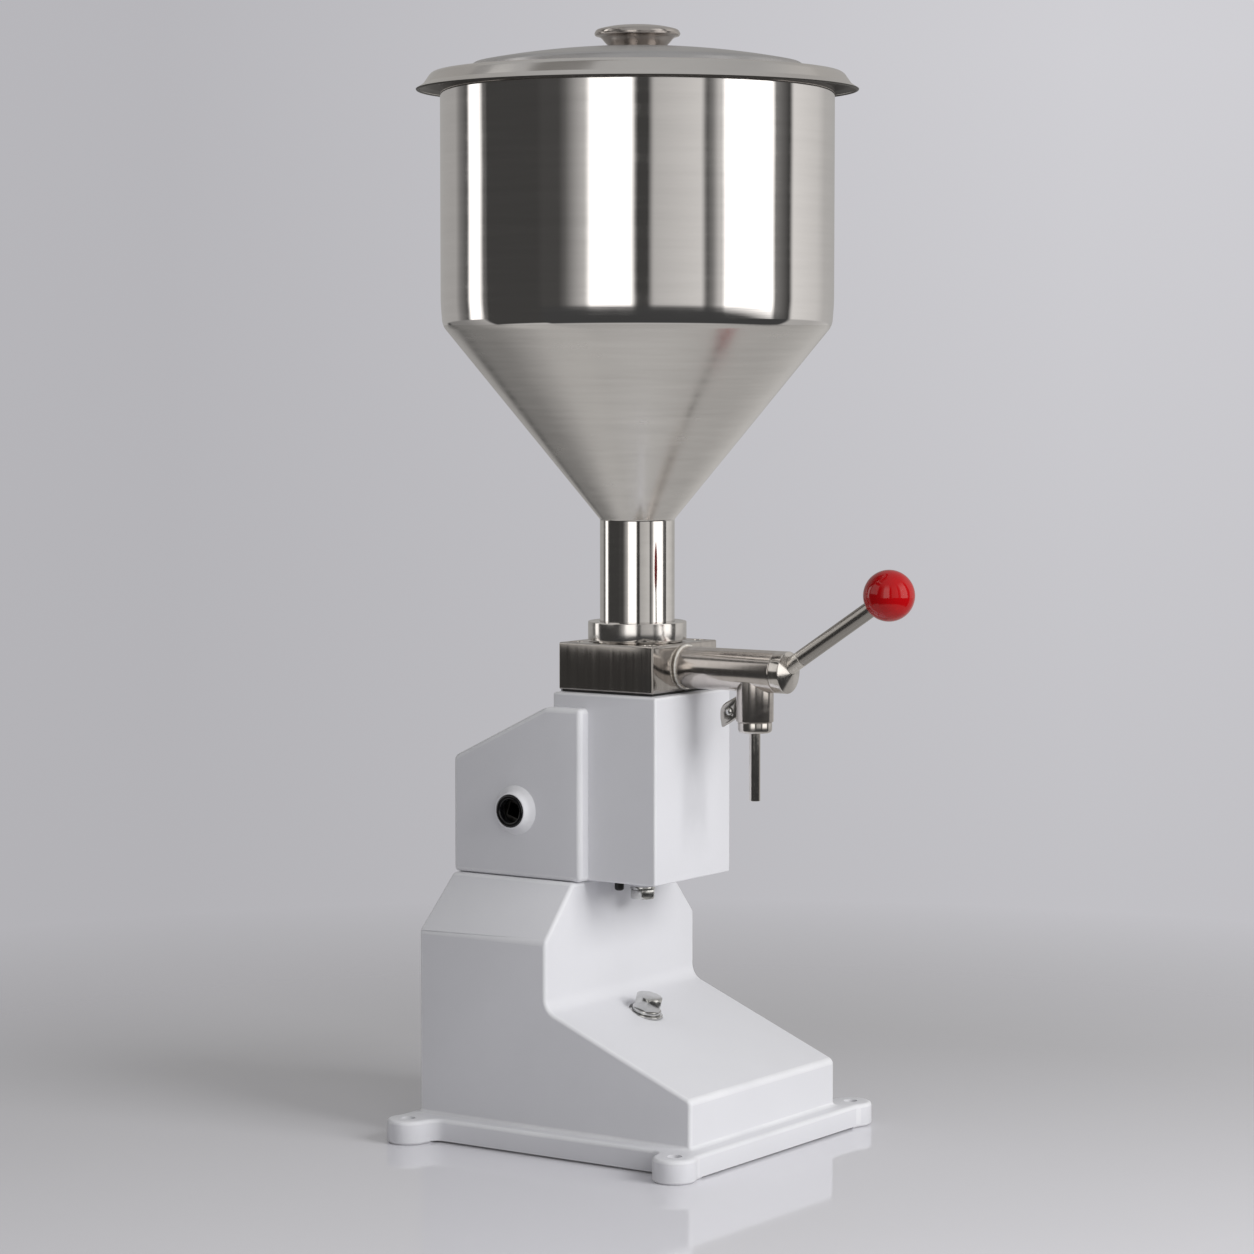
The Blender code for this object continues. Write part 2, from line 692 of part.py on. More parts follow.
def build_stand(parent, bolt):
    """Hollow stand with its flange, lugs, bolt holes and, on the tilted empty, the pad for the platform bolt."""
    plan = []
    plan += lug_corner(1, 1, LUG_REAR_Y, FLANGE_REAR_Y)
    plan += lug_corner(-1, 1, LUG_REAR_Y, FLANGE_REAR_Y)
    plan += lug_corner(-1, -1, LUG_FRONT_Y, FLANGE_FRONT_Y)
    plan += lug_corner(1, -1, LUG_FRONT_Y, FLANGE_FRONT_Y)
    stand = piece("base_casting", plate_mesh(plan, 0, FLANGE_TOP_Z), WHITE_PAINT, parent)
    join(stand, stand_solid("stand_body", parent, 0, FLANGE_TOP_Z / 2))
    bevel(stand, STAND_EDGE)
    cut(stand, stand_solid("stand_hollow", parent, STAND_WALL, -OVERRUN))

    across = LUG_X + LUG_RADIUS + OVERRUN
    along_front = LUG_FRONT_Y - LUG_RADIUS - OVERRUN
    along_rear = LUG_REAR_Y + LUG_RADIUS + OVERRUN
    between = LUG_X - LUG_RADIUS
    lengthways = box_mesh((-between, along_front, -OVERRUN), (between, along_rear, FLANGE_LIFT))
    sideways = box_mesh((-across, LUG_FRONT_Y + LUG_RADIUS, -OVERRUN), (across, LUG_REAR_Y - LUG_RADIUS, FLANGE_LIFT))
    cut(stand, tool("underside_lengthways", lengthways, parent), tool("underside_sideways", sideways, parent))

    pad_low = -PLATFORM_BOLT_LENGTH - OVERRUN
    join(stand, tool("platform_pad", round_mesh(PLATFORM_PAD_RADIUS, pad_low, -PLATFORM_SINK - OVERRUN / 2,
                                                steps=SMALL_STEPS), bolt))
    seat = round_mesh(PLATFORM_WASHER_RADIUS + SEAT_GAP, -SEAT_GAP, PLATFORM_BOLT_LENGTH, steps=TURNED_STEPS)
    shank = round_mesh(PLATFORM_BOLT_RADIUS + SHANK_GAP, -PLATFORM_BOLT_LENGTH - SEAT_GAP, OVERRUN, steps=SMALL_STEPS)
    cut(stand, tool("platform_seat", seat, bolt), tool("platform_hole", shank, bolt))

    for side in (-1, 1):
        for number, foot_y in enumerate((LUG_FRONT_Y, LUG_REAR_Y)):
            hole = round_mesh(LUG_HOLE_RADIUS, -OVERRUN, FLANGE_TOP_Z + OVERRUN, steps=SMALL_STEPS)
            cut(stand, tool(f"lug_hole_{side}_{number}", hole, parent, (side * LUG_X, foot_y, 0)))
    for number, (x, y) in enumerate(head_bolt_places()):
        hole = round_mesh(HEAD_BOLT_RADIUS + SHANK_GAP, STAND_TOP_Z - STAND_WALL - OVERRUN, STAND_TOP_Z + OVERRUN,
                          steps=SMALL_STEPS)
        cut(stand, tool(f"stand_bolt_hole_{number}", hole, parent, (x, y, 0)))


def head_bolt_places():
    """Places of the four hidden bolts, seen from above."""
    return [(side * POST_X, y) for y in (POST_FRONT_Y, POST_REAR_Y) for side in (-1, 1)]


def build_head_bolts(parent):
    """Hex bolts that come up through the stand's roof into the head's posts."""
    head_top = STAND_TOP_Z - STAND_WALL - SEAT_GAP
    for number, (x, y) in enumerate(head_bolt_places()):
        head = hex_mesh(HEAD_BOLT_FLATS, head_top - HEAD_BOLT_HEAD, head_top)
        bolt = piece(f"head_bolt_{number + 1}", head, ZINC, parent, (x, y, 0))
        shank = round_mesh(HEAD_BOLT_RADIUS, head_top - HEAD_BOLT_HEAD / 2, head_top + HEAD_BOLT_GRIP,
                           steps=SMALL_STEPS)
        join(bolt, tool(f"head_bolt_shank_{number}", shank, parent, (x, y, 0)))


def platform_bolt_pivot(parent):
    """Empty at the washer's seat on the sloping front, tilted with the bolt."""
    place_y = COLUMN_FRONT_Y - PLATFORM_BOLT_DROP
    slope_z = SLOPE_TOP_Z - PLATFORM_BOLT_DROP * SLOPE_RISE
    sunk = (place_y + PLATFORM_SINK * math.sin(PLATFORM_BOLT_TILT), slope_z - PLATFORM_SINK)
    return pivot("platform_bolt_axis", (PLATFORM_BOLT_X, *sunk), parent, (PLATFORM_BOLT_TILT, 0, 0))


def spring_washer(name, inner, outer, low, thickness, parent, location=(0, 0, 0)):
    """Split spring washer."""
    washer = turned(name, ring_profile(inner, outer, low, low + thickness), ZINC, parent, location,
                    steps=FITTING_STEPS, ring=True)
    gap = box_mesh((inner - OVERRUN, -SPRING_SPLIT / 2, low - OVERRUN),
                   (outer + OVERRUN, SPRING_SPLIT / 2, low + thickness + OVERRUN))
    return cut(washer, tool(name + "_split", gap, parent, location))


def build_platform_bolt(axis):
    """Hex bolt with its spring washer and flat washer on the sloping front."""
    inner = PLATFORM_BOLT_RADIUS + SHANK_GAP
    turned("platform_flat_washer", ring_profile(inner, PLATFORM_WASHER_RADIUS, 0, PLATFORM_WASHER_THICKNESS,
                                                PLATFORM_WASHER_THICKNESS / 6), ZINC, axis, ring=True,
           steps=FITTING_STEPS)
    spring_low = PLATFORM_WASHER_THICKNESS + SEAT_GAP
    spring_washer("platform_spring_washer", inner, PLATFORM_SPRING_RADIUS, spring_low, PLATFORM_SPRING_THICKNESS, axis)
    head_low = spring_low + PLATFORM_SPRING_THICKNESS + SEAT_GAP
    bolt = piece("platform_bolt", hex_mesh(PLATFORM_BOLT_FLATS, head_low, head_low + PLATFORM_BOLT_HEAD), ZINC, axis)
    keep = round_mesh(PLATFORM_BOLT_FLATS / 2 + PLATFORM_BOLT_HEAD, head_low - OVERRUN, head_low + PLATFORM_BOLT_HEAD,
                      steps=TURNED_STEPS, top_radius=PLATFORM_BOLT_FLATS / 2)
    boolean(bolt, tool("platform_bolt_chamfer", keep, axis), "INTERSECT")
    shank = round_mesh(PLATFORM_BOLT_RADIUS, -PLATFORM_BOLT_LENGTH, head_low + PLATFORM_BOLT_HEAD / 2,
                       steps=SMALL_STEPS)
    join(bolt, tool("platform_bolt_shank", shank, axis))


def build_head(parent):
    """Pump box and crank housing cast as one, with bosses, posts and all its holes."""
    box = box_mesh((-BOX_HALF_WIDTH, BOX_FRONT_Y, BOX_BOTTOM_Z), (BOX_HALF_WIDTH, BOX_REAR_Y, HEAD_TOP_Z))
    head = bevel(piece("head_casting", box, WHITE_PAINT, parent), BOX_EDGE)
    housing_top = HEAD_BOTTOM_Z + HOUSING_HEIGHT
    housing_rear_top = HEAD_BOTTOM_Z + HOUSING_REAR_HEIGHT
    outline = [(HOUSING_FRONT_Y, HEAD_BOTTOM_Z), (HOUSING_REAR_Y, HEAD_BOTTOM_Z), (HOUSING_REAR_Y, housing_rear_top),
               (HOUSING_KNEE_Y, housing_top), (HOUSING_FRONT_Y, housing_top)]
    housing = tool("crank_housing", plate_mesh(outline, -HOUSING_HALF_WIDTH, HOUSING_HALF_WIDTH), parent,
                   rotation=DRAWN_FROM_SIDE)
    join(head, bevel(housing, HOUSING_EDGE))

    boss = [(0, BOSS_HEIGHT), (BOSS_FACE_RADIUS, BOSS_HEIGHT), (BOSS_FACE_RADIUS + BOSS_EDGE, BOSS_HEIGHT - BOSS_EDGE),
            (BOSS_WAIST_RADIUS, BOSS_HEIGHT / 2), (BOSS_BASE_RADIUS, SEAT_GAP),
            (BOSS_BASE_RADIUS, -HOUSING_WALL / 2), (0, -HOUSING_WALL / 2)]
    for name, side, rotation in (("left", -1, AXIS_LEFT), ("right", 1, AXIS_RIGHT)):
        place_at = (side * HOUSING_HALF_WIDTH, SHAFT_Y, SHAFT_Z)
        join(head, turn(tool(f"boss_{name}", profile_mesh(boss, False), parent, place_at, rotation)))
    pad = round_mesh(STOP_PAD_RADIUS, BOX_BOTTOM_Z - STOP_PAD_HEIGHT, BOX_BOTTOM_Z + BOX_WALL / 2,
                     steps=TURNED_STEPS)
    join(head, tool("stop_pad", pad, parent, (0, STOP_BOLT_Y, 0)))

    inside = BOX_HALF_WIDTH - BOX_WALL
    floor = BOX_BOTTOM_Z + BOX_WALL
    chamber = box_mesh((-inside, BOX_FRONT_Y + BOX_WALL, floor), (inside, BOX_REAR_Y - BOX_WALL, HEAD_TOP_Z - BOX_TOP_WALL))
    hollow_front = HOUSING_FRONT_Y + HOUSING_WALL
    hollow_rear = HOUSING_REAR_Y - HOUSING_WALL
    hollow_low = HEAD_BOTTOM_Z - OVERRUN
    hollow = [(hollow_front, hollow_low), (hollow_rear, hollow_low), (hollow_rear, housing_rear_top - HOUSING_WALL),
              (HOUSING_KNEE_Y, housing_top - HOUSING_WALL), (hollow_front, housing_top - HOUSING_WALL)]
    hollow_half = HOUSING_HALF_WIDTH - HOUSING_WALL
    cut(head, tool("pump_chamber", chamber, parent),
        tool("crank_chamber", plate_mesh(hollow, -hollow_half, hollow_half), parent, rotation=DRAWN_FROM_SIDE))

    for number, (x, y) in enumerate(head_bolt_places()):
        post = round_mesh(POST_RADIUS, HEAD_BOTTOM_Z, HEAD_BOTTOM_Z + POST_HEIGHT, steps=SMALL_STEPS)
        hole = round_mesh(HEAD_BOLT_RADIUS + SHANK_GAP, HEAD_BOTTOM_Z - OVERRUN,
                          STAND_TOP_Z - STAND_WALL + HEAD_BOLT_GRIP, steps=SMALL_STEPS)
        join(head, tool(f"post_{number}", post, parent, (x, y, 0)))
        cut(head, tool(f"post_hole_{number}", hole, parent, (x, y, 0)))

    reach = HOUSING_HALF_WIDTH + BOSS_HEIGHT + OVERRUN
    shaft_bore = tool("shaft_bore", round_mesh(BUSH_RADIUS + SEAT_GAP, -reach, reach), parent,
                      (0, SHAFT_Y, SHAFT_Z), AXIS_RIGHT)
    cylinder_hole = round_mesh(CYLINDER_BORE_RADIUS + CYLINDER_WALL + SEAT_GAP, HEAD_TOP_Z - BOX_TOP_WALL - OVERRUN,
                               HEAD_TOP_Z + OVERRUN)
    flange_seat = round_mesh(CYLINDER_FLANGE_RADIUS + SEAT_GAP, HEAD_TOP_Z - CYLINDER_FLANGE - SEAT_GAP,
                             HEAD_TOP_Z + OVERRUN)
    stop_hole = round_mesh(STOP_BOLT_RADIUS + SHANK_GAP, BOX_BOTTOM_Z - STOP_PAD_HEIGHT - OVERRUN, floor + OVERRUN,
                           steps=SMALL_STEPS)
    cut(head, shaft_bore, tool("cylinder_hole", cylinder_hole, parent), tool("cylinder_seat", flange_seat, parent),
        tool("stop_hole", stop_hole, parent, (0, STOP_BOLT_Y, 0)))
    for side in (-1, 1):
        hole = round_mesh(GUIDE_RADIUS + RUNNING_GAP, BOX_BOTTOM_Z - OVERRUN, floor + OVERRUN, steps=SMALL_STEPS)
        cut(head, tool(f"guide_hole_{side}", hole, parent, (side * GUIDE_X, 0, 0)))
    for number, (x, y) in enumerate(block_screw_places()):
        hole = round_mesh(BLOCK_SCREW_RADIUS + SHANK_GAP, HEAD_TOP_Z - BOX_TOP_WALL - OVERRUN, HEAD_TOP_Z + OVERRUN,
                          steps=SMALL_STEPS)
        cut(head, tool(f"head_screw_hole_{number}", hole, parent, (x, y, 0)))


def build_stop_bolt(parent):
    """Hex bolt and spring washer under the head; its tip carries the crosshead at the bottom of the stroke."""
    spring_top = BOX_BOTTOM_Z - STOP_PAD_HEIGHT - SEAT_GAP
    head_top = spring_top - STOP_SPRING_THICKNESS - SEAT_GAP
    axis = pivot("stop_bolt_axis", (0, STOP_BOLT_Y, 0), parent)
    spring_washer("stop_spring_washer", STOP_BOLT_RADIUS + SHANK_GAP, STOP_SPRING_RADIUS,
                  spring_top - STOP_SPRING_THICKNESS, STOP_SPRING_THICKNESS, axis)
    bolt = piece("stop_bolt", hex_mesh(STOP_BOLT_FLATS, head_top - STOP_BOLT_HEAD, head_top), ZINC, axis)
    keep = round_mesh(STOP_BOLT_FLATS / 2, head_top - STOP_BOLT_HEAD, head_top + OVERRUN, steps=TURNED_STEPS,
                      top_radius=STOP_BOLT_FLATS / 2 + STOP_BOLT_HEAD)
    boolean(bolt, tool("stop_bolt_chamfer", keep, axis), "INTERSECT")
    tip = PIN_REST_Z - CROSSHEAD_BELOW - SEAT_GAP
    join(bolt, tool("stop_bolt_shank", round_mesh(STOP_BOLT_RADIUS, head_top - STOP_BOLT_HEAD / 2, tip,
                                                  steps=SMALL_STEPS), axis))


def build_guide_pins(parent):
    """Two pins through the box's floor that keep the crosshead square."""
    for name, side in (("guide_pin_left", -1), ("guide_pin_right", 1)):
        low = BOX_BOTTOM_Z - GUIDE_BELOW
        high = BOX_BOTTOM_Z + GUIDE_ABOVE
        end = GUIDE_RADIUS / 3
        profile = [(0, high), (GUIDE_RADIUS - end, high), (GUIDE_RADIUS, high - end), (GUIDE_RADIUS, low + end),
                   (GUIDE_RADIUS - end, low), (0, low)]
        turned(name, profile, DARK_STEEL, parent, (side * GUIDE_X, 0, 0), steps=SMALL_STEPS)


def block_screw_places():
    """Places of the four block screws, seen from above."""
    return [(side * BLOCK_SCREW_X, y) for y in (BLOCK_SCREW_FRONT_Y, BLOCK_SCREW_REAR_Y) for side in (-1, 1)]


def build_block(parent):
    """Valve block with its threaded spigot, funnel, ports and cross bore, and the gasket under it."""
    low = (-BLOCK_HALF_WIDTH, BLOCK_FRONT_Y, BLOCK_BOTTOM_Z)
    block = piece("valve_block", box_mesh(low, (BLOCK_HALF_WIDTH, BLOCK_REAR_Y, BLOCK_TOP_Z)), SATIN_STEEL, parent)
    bevel(block, BLOCK_EDGE, segments=1)
    spigot = round_mesh(SPIGOT_RADIUS, VALVE_Z, SPIGOT_TOP_Z)
    join(block, tool("spigot", spigot, parent))
    funnel = round_mesh(PORT_RADIUS, SPIGOT_TOP_Z - FUNNEL_DEPTH, SPIGOT_TOP_Z, top_radius=FUNNEL_RADIUS)
    mouth = round_mesh(FUNNEL_RADIUS, SPIGOT_TOP_Z - SEAT_GAP, SPIGOT_TOP_Z + OVERRUN)
    port = round_mesh(PORT_RADIUS, BLOCK_BOTTOM_Z - OVERRUN, SPIGOT_TOP_Z - FUNNEL_DEPTH + OVERRUN)
    bore = round_mesh(CORE_BORE_RADIUS, -BLOCK_REAR_Y - OVERRUN, -BLOCK_FRONT_Y + OVERRUN)
    cut(block, tool("funnel", funnel, parent), tool("funnel_mouth", mouth, parent), tool("port", port, parent),
        tool("block_bore", bore, parent, (0, 0, VALVE_Z), AXIS_FORWARD))

    inset = BLOCK_GASKET_INSET
    gasket_low = (-BLOCK_HALF_WIDTH + inset, BLOCK_FRONT_Y + inset, GASKET_Z)
    gasket_high = (BLOCK_HALF_WIDTH - inset, BLOCK_REAR_Y - inset, GASKET_Z + BLOCK_GASKET)
    gasket = piece("block_gasket", box_mesh(gasket_low, gasket_high), BLACK_RUBBER, parent)
    hole = round_mesh(CYLINDER_BORE_RADIUS, GASKET_Z - OVERRUN, GASKET_Z + BLOCK_GASKET + OVERRUN)
    cut(gasket, tool("gasket_hole", hole, parent))

    top = BLOCK_TOP_Z - BLOCK_SCREW_SUNK
    under = top - BLOCK_SCREW_HEAD
    for number, (x, y) in enumerate(block_screw_places()):
        recess = round_mesh(BLOCK_SCREW_HEAD_RADIUS + SEAT_GAP, under - SEAT_GAP, BLOCK_TOP_Z + OVERRUN,
                            steps=SMALL_STEPS)
        through = round_mesh(BLOCK_SCREW_RADIUS + SHANK_GAP, GASKET_Z - OVERRUN, under, steps=SMALL_STEPS)
        cut(block, tool(f"screw_recess_{number}", recess, parent, (x, y, 0)),
            tool(f"screw_hole_{number}", through, parent, (x, y, 0)))
        cut(gasket, tool(f"gasket_screw_hole_{number}", through.copy(), parent, (x, y, 0)))
        tip = HEAD_TOP_Z - BOX_TOP_WALL
        profile = [(0, top), (BLOCK_SCREW_HEAD_RADIUS, top), (BLOCK_SCREW_HEAD_RADIUS, under),
                   (BLOCK_SCREW_RADIUS, under), (BLOCK_SCREW_RADIUS, tip), (0, tip)]
        screw = turned(f"block_screw_{number + 1}", profile, ZINC, parent, (x, y, 0), steps=SMALL_STEPS)
        key = hex_mesh(BLOCK_SCREW_KEY, top - BLOCK_SCREW_KEY_DEPTH, top + OVERRUN)
        cut(screw, tool(f"screw_key_{number}", key, parent, (x, y, 0)))


def build_hopper(parent):
    """Sheet-metal hopper with its gasket and the nut that clamps its neck flange on the spigot."""
    flange_low = NECK_BOTTOM_Z
    flange_high = NECK_BOTTOM_Z + NECK_FLANGE
    surface = rounded([
        (HOPPER_RADIUS + RIM_WIDTH - HOPPER_WALL, HOPPER_TOP_Z - RIM_DROP, 0),
        (HOPPER_RADIUS + RIM_WIDTH - HOPPER_WALL, HOPPER_TOP_Z - HOPPER_WALL, RIM_ROUND),
        (HOPPER_RADIUS, HOPPER_TOP_Z - HOPPER_WALL, RIM_ROUND),
        (HOPPER_RADIUS, CONE_TOP_Z, SHOULDER_ROUND),
        (NECK_RADIUS, NECK_TOP_Z, NECK_ROUND),
        (NECK_RADIUS, flange_high, 0),
    ], closed=False, steps=2)
    inner = NECK_RADIUS - HOPPER_WALL
    hopper = turned("hopper", surface, POLISHED_STEEL, parent, steps=HOPPER_STEPS)
    shell(hopper, HOPPER_WALL)
    foot = tool("neck_flange", profile_mesh(ring_profile(inner, NECK_FLANGE_RADIUS, flange_low, flange_high
                                                         + SEAT_GAP), True), parent)
    join(hopper, turn(foot, HOPPER_STEPS))

    turned("hopper_gasket", ring_profile(FUNNEL_RADIUS, NECK_FLANGE_RADIUS, HOPPER_GASKET_Z,
                                         HOPPER_GASKET_Z + HOPPER_GASKET), WHITE_SEAL, parent, ring=True)
    lip_low = flange_high + 2 * SEAT_GAP
    lip_high = lip_low + HOPPER_NUT_LIP
    low = BLOCK_TOP_Z + HOPPER_NUT_STANDOFF
    thread = SPIGOT_RADIUS + SEAT_GAP
    neck = NECK_RADIUS + SEAT_GAP
    edge = HOPPER_NUT_EDGE
    nut = [(neck, lip_high), (HOPPER_NUT_RADIUS - edge, lip_high), (HOPPER_NUT_RADIUS, lip_high - edge),
           (HOPPER_NUT_RADIUS, low + edge), (HOPPER_NUT_RADIUS - edge, low), (thread, low), (thread, lip_low),
           (neck, lip_low)]
    turned("hopper_nut", nut, SATIN_STEEL, parent, ring=True)


def build_lid(parent):
    """Domed lid with a flared skirt, its knob and the screw that holds the knob.  Heights from the ledge."""
    crown = [(LID_HOLE_RADIUS, CROWN_HEIGHT, 0)]
    crown += [(DOME_RADIUS * share, CROWN_HEIGHT - CROWN_SAG * share ** 2, 0) for share in CROWN_SHARES]
    surface = rounded(crown + [
        (DOME_RADIUS, CROWN_HEIGHT - CROWN_SAG, DOME_ROUND),
        (DOME_RADIUS + DOME_FOOT_SPREAD, 0, 0),
        (LEDGE_RADIUS, 0, LEDGE_ROUND),
        (LEDGE_RADIUS + SKIRT_WIDTH, -SKIRT_DROP, 0),
        (LID_RADIUS, -SKIRT_DROP - LIP_DROP, 0),
    ], closed=False, steps=2)
    lid = turned("lid_shell", surface, POLISHED_STEEL, parent, steps=HOPPER_STEPS)
    shell(lid, LID_SHEET)

    foot = CROWN_HEIGHT + SEAT_GAP
    span = KNOB_RIM_RADIUS - KNOB_FOOT_RADIUS
    knob = [(0, foot + KNOB_HEIGHT)]
    knob += [(KNOB_RIM_RADIUS * share, foot + KNOB_HEIGHT * height) for share, height in reversed(KNOB_CROWN_SHARES)]
    knob += [(KNOB_RIM_RADIUS, foot + KNOB_HEIGHT * KNOB_RIM_HEIGHT_SHARE)]
    knob += [(KNOB_FOOT_RADIUS + span * share, foot + KNOB_HEIGHT * height)
             for share, height in reversed(KNOB_WAIST_SHARES)]
    bore_top = foot + KNOB_BORE_DEPTH
    knob += [(KNOB_FOOT_RADIUS, foot), (KNOB_BORE_RADIUS, foot), (KNOB_BORE_RADIUS, bore_top), (0, bore_top)]
    turned("lid_knob", knob, POLISHED_STEEL, parent)

    under = CROWN_HEIGHT - LID_SHEET - SEAT_GAP
    tip = bore_top - SEAT_GAP
    screw = [(0, tip), (LID_SCREW_RADIUS, tip), (LID_SCREW_RADIUS, under), (LID_SCREW_HEAD_RADIUS, under),
             (LID_SCREW_HEAD_RADIUS, under - LID_SCREW_HEAD / 2), (LID_SCREW_RADIUS, under - LID_SCREW_HEAD),
             (0, under - LID_SCREW_HEAD)]
    turned("lid_screw", screw, ZINC, parent, steps=SMALL_STEPS)


def build_barrel(parent):
    """Valve barrel welded to the block's front, with the outlet stub under its front end."""
    rear = -BARREL_REAR_Y
    front = -BARREL_FRONT_Y
    chamfer = BARREL_CHAMFER
    tube = [(0, front), (BARREL_RADIUS - chamfer, front), (BARREL_RADIUS, front - chamfer),
            (BARREL_RADIUS, rear + BEAD_WIDTH), (BARREL_RADIUS + BEAD_HEIGHT, rear + BEAD_WIDTH / 2),
            (BARREL_RADIUS + BEAD_HEIGHT, rear), (0, rear)]
    barrel = turned("valve_barrel", tube, SATIN_STEEL, parent, (0, 0, VALVE_Z), AXIS_FORWARD)
    outlet = (0, OUTLET_Y, 0)
    stub = round_mesh(STUB_RADIUS, STUB_BOTTOM_Z, VALVE_Z)
    bore = round_mesh(CORE_BORE_RADIUS, rear - OVERRUN, front + OVERRUN)
    seat_top = STUB_BOTTOM_Z + STUB_BORE_DEPTH
    join(barrel, tool("stub", stub, parent, outlet))
    cut(barrel, tool("barrel_bore", bore, parent, (0, 0, VALVE_Z), AXIS_FORWARD),
        tool("stub_bore", round_mesh(STUB_BORE_RADIUS, STUB_BOTTOM_Z - OVERRUN, seat_top), parent, outlet),
        tool("outlet_port", round_mesh(OUTLET_PORT_RADIUS, seat_top - OVERRUN, VALVE_Z, steps=SMALL_STEPS),
             parent, outlet))


def build_outlet(parent):
    """Nozzle tube, its gasket and nut in the stub, and the curved lug with its screw."""
    axis = pivot("outlet_axis", (0, OUTLET_Y, STUB_BOTTOM_Z), parent)
    nut_top = -SEAT_GAP
    nut_low = nut_top - NOZZLE_NUT_HEIGHT
    spigot_top = NOZZLE_NUT_SPIGOT
    bore = NOZZLE_RADIUS + SEAT_GAP
    quarter = NOZZLE_NUT_ROUND / 3
    nut = [(bore, spigot_top), (NOZZLE_NUT_SPIGOT_RADIUS, spigot_top), (NOZZLE_NUT_SPIGOT_RADIUS, nut_top),
           (NOZZLE_NUT_RADIUS, nut_top), (NOZZLE_NUT_RADIUS, nut_low + NOZZLE_NUT_ROUND),
           (NOZZLE_NUT_RADIUS - quarter, nut_low + quarter), (NOZZLE_NUT_RADIUS - NOZZLE_NUT_ROUND, nut_low),
           (bore, nut_low)]
    turned("nozzle_nut", nut, SATIN_STEEL, axis, ring=True)
    flange_low = spigot_top + SEAT_GAP
    flange_high = flange_low + NOZZLE_FLANGE
    nozzle = [(NOZZLE_BORE_RADIUS, flange_high), (NOZZLE_FLANGE_RADIUS, flange_high),
              (NOZZLE_FLANGE_RADIUS, flange_low), (NOZZLE_RADIUS, flange_low), (NOZZLE_RADIUS, -NOZZLE_BELOW),
              (NOZZLE_BORE_RADIUS, -NOZZLE_BELOW)]
    turned("nozzle_tube", nozzle, POLISHED_STEEL, axis, steps=FITTING_STEPS, ring=True)
    gasket_low = flange_high + SEAT_GAP
    turned("nozzle_gasket", ring_profile(OUTLET_PORT_RADIUS, NOZZLE_FLANGE_RADIUS, gasket_low,
                                         gasket_low + NOZZLE_GASKET), WHITE_SEAL, axis, ring=True, steps=SMALL_STEPS)

    foot_y = STUB_RADIUS + SEAT_GAP
    low = -LUG_PLATE_FOOT
    outline = [(foot_y + LUG_PLATE_REACH * along, low + LUG_PLATE_HEIGHT * up) for along, up in LUG_PLATE_SHARES]
    plate = piece("outlet_lug", plate_mesh(outline, -LUG_PLATE / 2, LUG_PLATE / 2), SATIN_STEEL, axis,
                  rotation=DRAWN_FROM_SIDE)
    along, up = LUG_SCREW_SHARES
    screw_at = (0, foot_y + LUG_PLATE_REACH * along, low + LUG_PLATE_HEIGHT * up)
    hole = round_mesh(LUG_SCREW_RADIUS + SHANK_GAP, -LUG_PLATE, LUG_PLATE, steps=SMALL_STEPS)
    bevel(plate, LUG_PLATE_EDGE, segments=1)
    cut(plate, tool("lug_screw_hole", hole, axis, screw_at, AXIS_LEFT))
    under = LUG_PLATE / 2 + SEAT_GAP
    tail = -LUG_PLATE / 2 - LUG_SCREW_TAIL
    screw = [(0, under + LUG_SCREW_HEAD), (LUG_SCREW_HEAD_RADIUS / 2, under + LUG_SCREW_HEAD),
             (LUG_SCREW_HEAD_RADIUS, under + LUG_SCREW_HEAD / 2), (LUG_SCREW_HEAD_RADIUS, under),
             (LUG_SCREW_RADIUS, under), (LUG_SCREW_RADIUS, tail), (0, tail)]
    turned("lug_screw", screw, ZINC, axis, screw_at, AXIS_LEFT, steps=SMALL_STEPS)


